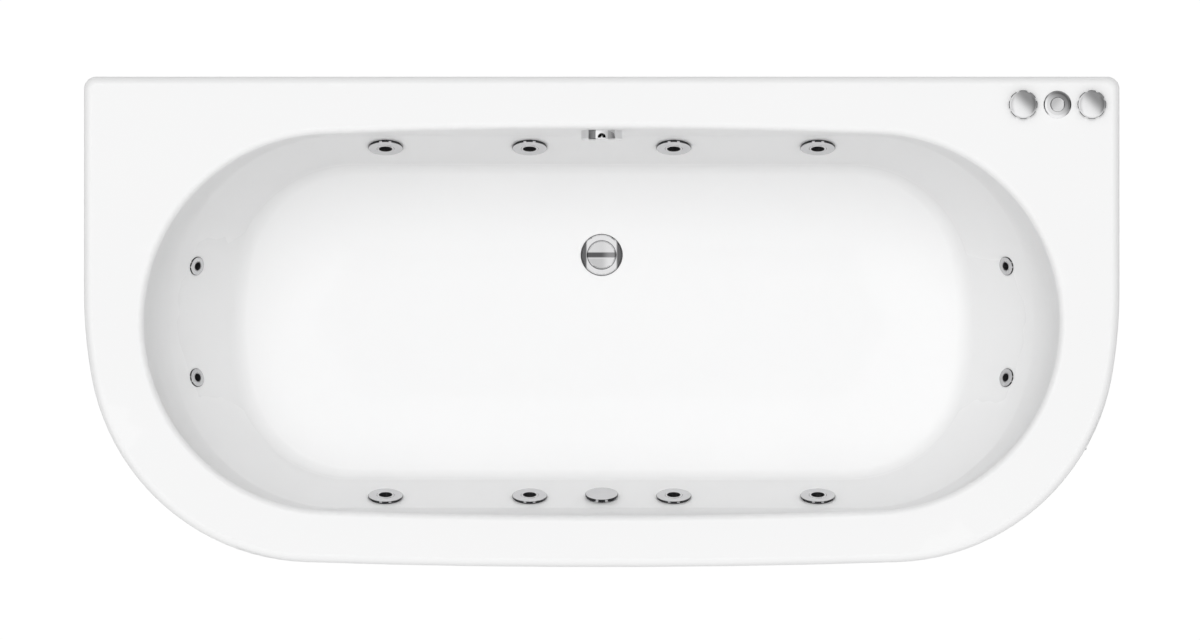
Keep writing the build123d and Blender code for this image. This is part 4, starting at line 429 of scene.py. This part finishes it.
BEZEL_START = (0.0113, 0.0118)
BEZEL_SPREAD = (-0.022, 0.026)
BEZEL_DARKNESS = 0.78
BUTTON_SPREAD = (-0.010, 0.008)
BUTTON_DARKNESS = 0.34
BUTTON_EASED = 0.24
LINE_START = (0.0109, 0.0113)
LINE_END = (0.0119, 0.0123)
LINE_DARKNESS = 0.3


def button_painted_reflection_and_shade(place):
    x, y = place.axis("X") - CONTROL_X, place.axis("Y") - CONTROL_Y
    bezel = past_radius(x, y, *BEZEL_START)
    slope = BEZEL_DARKNESS * (x + y).between(*BEZEL_SPREAD)
    crown = BUTTON_DARKNESS - BUTTON_EASED * (x - y).between(*BUTTON_SPREAD)
    line = past_radius(x, y, *LINE_START) * (1 - past_radius(x, y, *LINE_END))
    return bezel * slope + (1 - bezel) * crown + LINE_DARKNESS * line


coat(chromed("chrome_button", CHROME_LIT_DEEP, CHROME_LIT_PALE, button_painted_reflection_and_shade), "button_bezel", "start_button")


# Moulded fittings
# Bodies behind the wall, nuts and elbows, injection moulded in white and grey plastic.
# They are glued or screwed on over rubber seals, and the feet stand on pads of the same rubber.

MOULDED_PALE = (0.70, 0.70, 0.68)
MOULDED_DEEP = (0.60, 0.60, 0.575)
MOULDED_GRAIN = 0.0012
MOULDED_FLOW = 0.04
MOULDED_RELIEF = 0.00018

moulded, place = start_finish("moulded_fitting_plastic")
grain = place.clouds(MOULDED_GRAIN, 3)
flow = place.clouds(MOULDED_FLOW, 3)
end_finish(moulded, {
    "Base Color": flow.between(0.3, 0.7).tint(MOULDED_DEEP, MOULDED_PALE),
    "Roughness": 0.36 + 0.16 * grain,
}, 0.4 * grain + flow, MOULDED_RELIEF)
coat(moulded, "jet_bodies", "suction_body", "control_bodies", "waste_body", "trap", "overflow_elbow",
     "discharge_pipe")

NUT_PALE = (0.30, 0.31, 0.32)
NUT_DEEP = (0.22, 0.23, 0.24)
NUT_GRAIN = 0.0015
NUT_RELIEF = 0.0001

nut_plastic, place = start_finish("grey_nut_plastic")
grain = place.clouds(NUT_GRAIN, 3)
end_finish(nut_plastic, {
    "Base Color": grain.tint(NUT_DEEP, NUT_PALE),
    "Roughness": 0.4 + 0.15 * grain,
}, grain, NUT_RELIEF)
coat(nut_plastic, "lock_nuts", "union_nuts")

RUBBER_BLACK = (0.02, 0.02, 0.021)
RUBBER_DUSTY = (0.055, 0.055, 0.056)
DUST_SIZE = 0.006
DUST_RELIEF = 0.00012

rubber, place = start_finish("seal_rubber")
dust = place.clouds(DUST_SIZE, 5)
end_finish(rubber, {
    "Base Color": dust.between(0.45, 0.75).tint(RUBBER_BLACK, RUBBER_DUSTY),
    "Roughness": 0.65 + 0.2 * dust,
}, dust, DUST_RELIEF)
coat(rubber, "seals", "foot_pads")


# Water and air pipes
# Runs of white pressure pipe bent warm to the bath's outline, each pushed and glued into the jets' sockets.
# The air runs are thinner, and two hoses of the same white bring air down from the knobs.

PIPE_PALE = (0.80, 0.80, 0.785)
PIPE_DEEP = (0.70, 0.70, 0.68)
DRAWN_SIZE = 0.09
FINE_SIZE = 0.002
PIPE_RELIEF = 0.00025

pipe_plastic, place = start_finish("pipe_plastic")
drawn = place.clouds(DRAWN_SIZE, 3)
fine = place.clouds(FINE_SIZE, 4)
end_finish(pipe_plastic, {
    "Base Color": drawn.between(0.3, 0.7).tint(PIPE_DEEP, PIPE_PALE),
    "Roughness": 0.24 + 0.18 * fine,
}, 0.3 * fine + drawn, PIPE_RELIEF)
coat(pipe_plastic, "water_pipes", "air_pipes", "air_feed", "suction_pipe", "overflow_pipe")


# Pump and motor
# A spiral casing of black glass-filled plastic, and a motor with a finned aluminium body, painted grey.
# A plastic cowl covers its fan and a terminal box stands on it, and the rotor is turned steel.

PUMP_BLACK = (0.022, 0.022, 0.024)
PUMP_GREY = (0.05, 0.05, 0.053)
SPARK_SIZE = 0.0018
SPARK_RELIEF = 0.00022

pump_plastic, place = start_finish("pump_plastic")
spark = place.clouds(SPARK_SIZE, 5)
end_finish(pump_plastic, {
    "Base Color": spark.between(0.4, 0.8).tint(PUMP_BLACK, PUMP_GREY),
    "Roughness": 0.42 + 0.25 * spark,
}, spark, SPARK_RELIEF)
coat(pump_plastic, "pump_casing", "terminal_box", "fan_cowl")

MOTOR_PALE = (0.34, 0.36, 0.38)
MOTOR_DEEP = (0.27, 0.29, 0.31)
PEEL_SIZE = 0.0025
PEEL_RELIEF = 0.00018
SOOT_SIZE = 0.05

motor_paint, place = start_finish("motor_paint")
peel = place.clouds(PEEL_SIZE, 3)
soot = place.clouds(SOOT_SIZE, 4)
end_finish(motor_paint, {
    "Base Color": soot.between(0.35, 0.7).tint(MOTOR_DEEP, MOTOR_PALE),
    "Metallic": 0.2,
    "Roughness": 0.34 + 0.14 * peel,
}, peel, PEEL_RELIEF)
coat(motor_paint, "motor_housing")

ROTOR_PALE = (0.56, 0.56, 0.57)
ROTOR_DEEP = (0.42, 0.42, 0.43)
TURNED_STRETCH = (1, 40, 1)
TURNED_SIZE = 0.02
TURNED_RELIEF = 0.00003

rotor_steel, place = start_finish("rotor_steel")
turned = place.stretched(TURNED_STRETCH).clouds(TURNED_SIZE, 4)
end_finish(rotor_steel, {
    "Base Color": turned.tint(ROTOR_DEEP, ROTOR_PALE),
    "Metallic": 1.0,
    "Roughness": 0.25 + 0.2 * turned,
}, turned, TURNED_RELIEF)
coat(rotor_steel, "pump_rotor")


# Timber
# Softwood posts, bearers, rim frame and motor cradle, planed and screwed together.
# The baseboard and the pump's board are cut from chipboard.

PINE_PALE = (0.66, 0.48, 0.28)
PINE_DEEP = (0.47, 0.30, 0.145)
WARP_STRETCH = (1, 1, 0.08)
WARP_SIZE = 0.03
RINGS_PER_METRE = 260
PORE_STRETCH = (1, 1, 0.05)
PORE_SIZE = 0.0015
PORE_RELIEF = 0.0003

pine, place = start_finish("pine")
warp = place.stretched(WARP_STRETCH).clouds(WARP_SIZE, 3)
slant = place.axis("X") + 0.35 * place.axis("Y") + 0.02 * warp
rings = slant.maths("SINE", slant * RINGS_PER_METRE)
pore = place.stretched(PORE_STRETCH).clouds(PORE_SIZE, 3)
end_finish(pine, {
    "Base Color": (0.3 * rings + 0.4 * pore + 0.3).tint(PINE_DEEP, PINE_PALE),
    "Roughness": 0.55 + 0.2 * pore,
}, pore, PORE_RELIEF)
coat(pine, "rim_posts", "bearers", "motor_cradle", "rim_frame")

CHIP_PALE = (0.62, 0.49, 0.32)
CHIP_DEEP = (0.38, 0.27, 0.15)
CHIP_SIZE = 0.006
FLAKE_STRETCH = (1, 0.5, 2.5)
FLAKE_SIZE = 0.004
FLAKE_RELIEF = 0.0004

chipboard, place = start_finish("chipboard")
chips = place.cells(CHIP_SIZE, "Color")
flakes = place.stretched(FLAKE_STRETCH).cells(FLAKE_SIZE)
end_finish(chipboard, {
    "Base Color": (0.6 * chips + 0.4 * flakes).between(0.1, 0.9).tint(CHIP_DEEP, CHIP_PALE),
    "Roughness": 0.7 + 0.15 * flakes,
}, flakes, FLAKE_RELIEF)
coat(chipboard, "baseboard", "pump_board")


# Steel base and feet
# Long rails and cross rails of galvanised square tube, welded together.
# They stand on eight threaded rods with nuts and pads.

ZINC_PALE = (0.62, 0.64, 0.66)
ZINC_DEEP = (0.42, 0.44, 0.46)
SPANGLE_SIZE = 0.012
STREAK_SIZE = 0.06
ZINC_RELIEF = 0.00015

zinc, place = start_finish("galvanised_steel")
spangle = place.cells(SPANGLE_SIZE, "Color")
streak = place.clouds(STREAK_SIZE, 4)
end_finish(zinc, {
    "Base Color": (0.6 * spangle + 0.4 * streak).tint(ZINC_DEEP, ZINC_PALE),
    "Metallic": 0.85,
    "Roughness": 0.34 + 0.22 * spangle,
}, 0.3 * spangle + streak, ZINC_RELIEF)
coat(zinc, "base_frame", "foot_nuts")

ROD_PALE = (0.66, 0.66, 0.66)
ROD_ROOT_SHADE = (0.30, 0.30, 0.31)
THREADS_PER_METRE = 571
THREAD_RELIEF = 0.0009
RUB_SIZE = 0.004

thread_steel, place = start_finish("threaded_rod_steel")
# Each turn of the thread is painted darker in its root and paler on its crest, a painted shade that follows
# the thread's relief.
turns = abs((place.axis("Z") * THREADS_PER_METRE) % 1.0 - 0.5)
end_finish(thread_steel, {
    "Base Color": (2 * turns).tint(ROD_ROOT_SHADE, ROD_PALE),
    "Metallic": 1.0,
    "Roughness": 0.3 + 0.2 * place.clouds(RUB_SIZE, 3),
}, turns, THREAD_RELIEF)
coat(thread_steel, "foot_rods")


# Studio
# A plain white floor, soft light from overhead, and a camera that looks straight down from far above.
# Chrome mirrors a sky that is darker towards the back right corner and low at both ends.

FLOOR_RADIUS = 40
FLOOR_EDGES = 64
FLOOR_WHITE = (0.55, 0.55, 0.55, 1)
BACKDROP_WHITE = (1, 1, 1, 1)
BACKDROP_LEVEL = 1.08
SHADOW_SHARE = 0.10
SHADOW_REACH = (1.6, 3.2)
SKY_TOP = 0.70
SKY_LOW = 0.08
SKY_FRONT = 0.90
DOME_RISE = (0.05, 0.75)
FRONT_SPREAD = (0.25, 0.95)
CORNER_WEIGHT = 0.75
CORNER_SPREAD = (-0.35, 0.75)
CORNER_DARKNESS = 0.55
SIDES_SPREAD = (0.55, 0.8)
SIDES_TOP = 0.6
SIDES_FADE = (-0.2, 0.5)
SIDES_DARKNESS = 0.7
SUN_LEVEL = 0.40
SUN_SOFTNESS = 50
SUN_WAY = (0.07, -0.12, -1)
SUN_HEIGHT = 4
CAMERA_PLACE = (-0.0028, 0.0031, 20.58)
CAMERA_LENS = 365.7
CAMERA_SENSOR = 36
CAMERA_REACH = 60


def seen_plainly(tree):
    rays = tree.nodes.new("ShaderNodeLightPath")
    camera_ray, glossy_ray, clear_ray = [Signal(tree, rays.outputs[f"Is {kind} Ray"])
                                         for kind in ("Camera", "Glossy", "Transmission")]
    return camera_ray.maths("MINIMUM", camera_ray + glossy_ray + clear_ray, 1.0), glossy_ray


bpy.ops.object.select_all(action="DESELECT")
bpy.ops.mesh.primitive_circle_add(vertices=FLOOR_EDGES, radius=FLOOR_RADIUS, fill_type="NGON",
                                  location=(0, 0, 0))
floor = bpy.context.object
floor.name = "floor"
paper, place = start_finish("floor_paper")
tree = paper.node_tree
away = place.node("ShaderNodeVectorMath", {"operation": "LENGTH"}, {0: place}, "Value")
share = 1 - SHADOW_SHARE * (1 - away.between(*SHADOW_REACH))
plain = place.node("ShaderNodeBsdfDiffuse", {}, {"Color": FLOOR_WHITE})
lit = place.node("ShaderNodeEmission", {}, {"Color": BACKDROP_WHITE, "Strength": BACKDROP_LEVEL})
both = place.node("ShaderNodeMixShader", {}, {0: share * seen_plainly(tree)[0], 1: plain, 2: lit})
tree.links.new(both.socket, tree.nodes["Material Output"].inputs["Surface"])
floor.data.materials.append(paper)

world = bpy.data.worlds.new("studio")
bpy.context.scene.world = world
world.use_nodes = True
tree = world.node_tree
way = Signal(tree, tree.nodes.new("ShaderNodeTexCoord").outputs["Generated"])
east, north, up = way.axis("X"), way.axis("Y"), way.axis("Z")
dome = up.between(*DOME_RISE)
front = (0.0 - north).between(*FRONT_SPREAD)
light = SKY_LOW + (SKY_TOP - SKY_LOW) * dome + SKY_FRONT * front * (1 - dome)
corner = (east * CORNER_WEIGHT + north * CORNER_WEIGHT).between(*CORNER_SPREAD)
sides = abs(east).between(*SIDES_SPREAD) * (SIDES_TOP - up).between(*SIDES_FADE)
mirror = (1 - CORNER_DARKNESS * corner) * (1 - SIDES_DARKNESS * sides)
plainly, glossy = seen_plainly(tree)
level = light * (1 - plainly) + plainly * (1 - glossy) + glossy * mirror
tree.links.new(level.socket, tree.nodes["Background"].inputs["Strength"])
tree.nodes["Background"].inputs["Color"].default_value = BACKDROP_WHITE

bpy.ops.object.select_all(action="DESELECT")
bpy.ops.object.light_add(type="SUN", location=(0, 0, SUN_HEIGHT))
sun = bpy.context.object
sun.name = "overhead_light"
sun.data.energy = math.pi * SUN_LEVEL
sun.data.angle = math.radians(SUN_SOFTNESS)
sun.rotation_euler = Vector(SUN_WAY).to_track_quat("-Z", "Y").to_euler()
sun.visible_glossy = False

bpy.ops.object.camera_add(location=CAMERA_PLACE, rotation=(0, 0, 0))
camera = bpy.context.object
camera.name = "camera"
camera.data.lens = CAMERA_LENS
camera.data.sensor_width = CAMERA_SENSOR
camera.data.clip_end = CAMERA_REACH
bpy.context.scene.camera = camera

scene = bpy.context.scene
scene.view_settings.view_transform = "Standard"
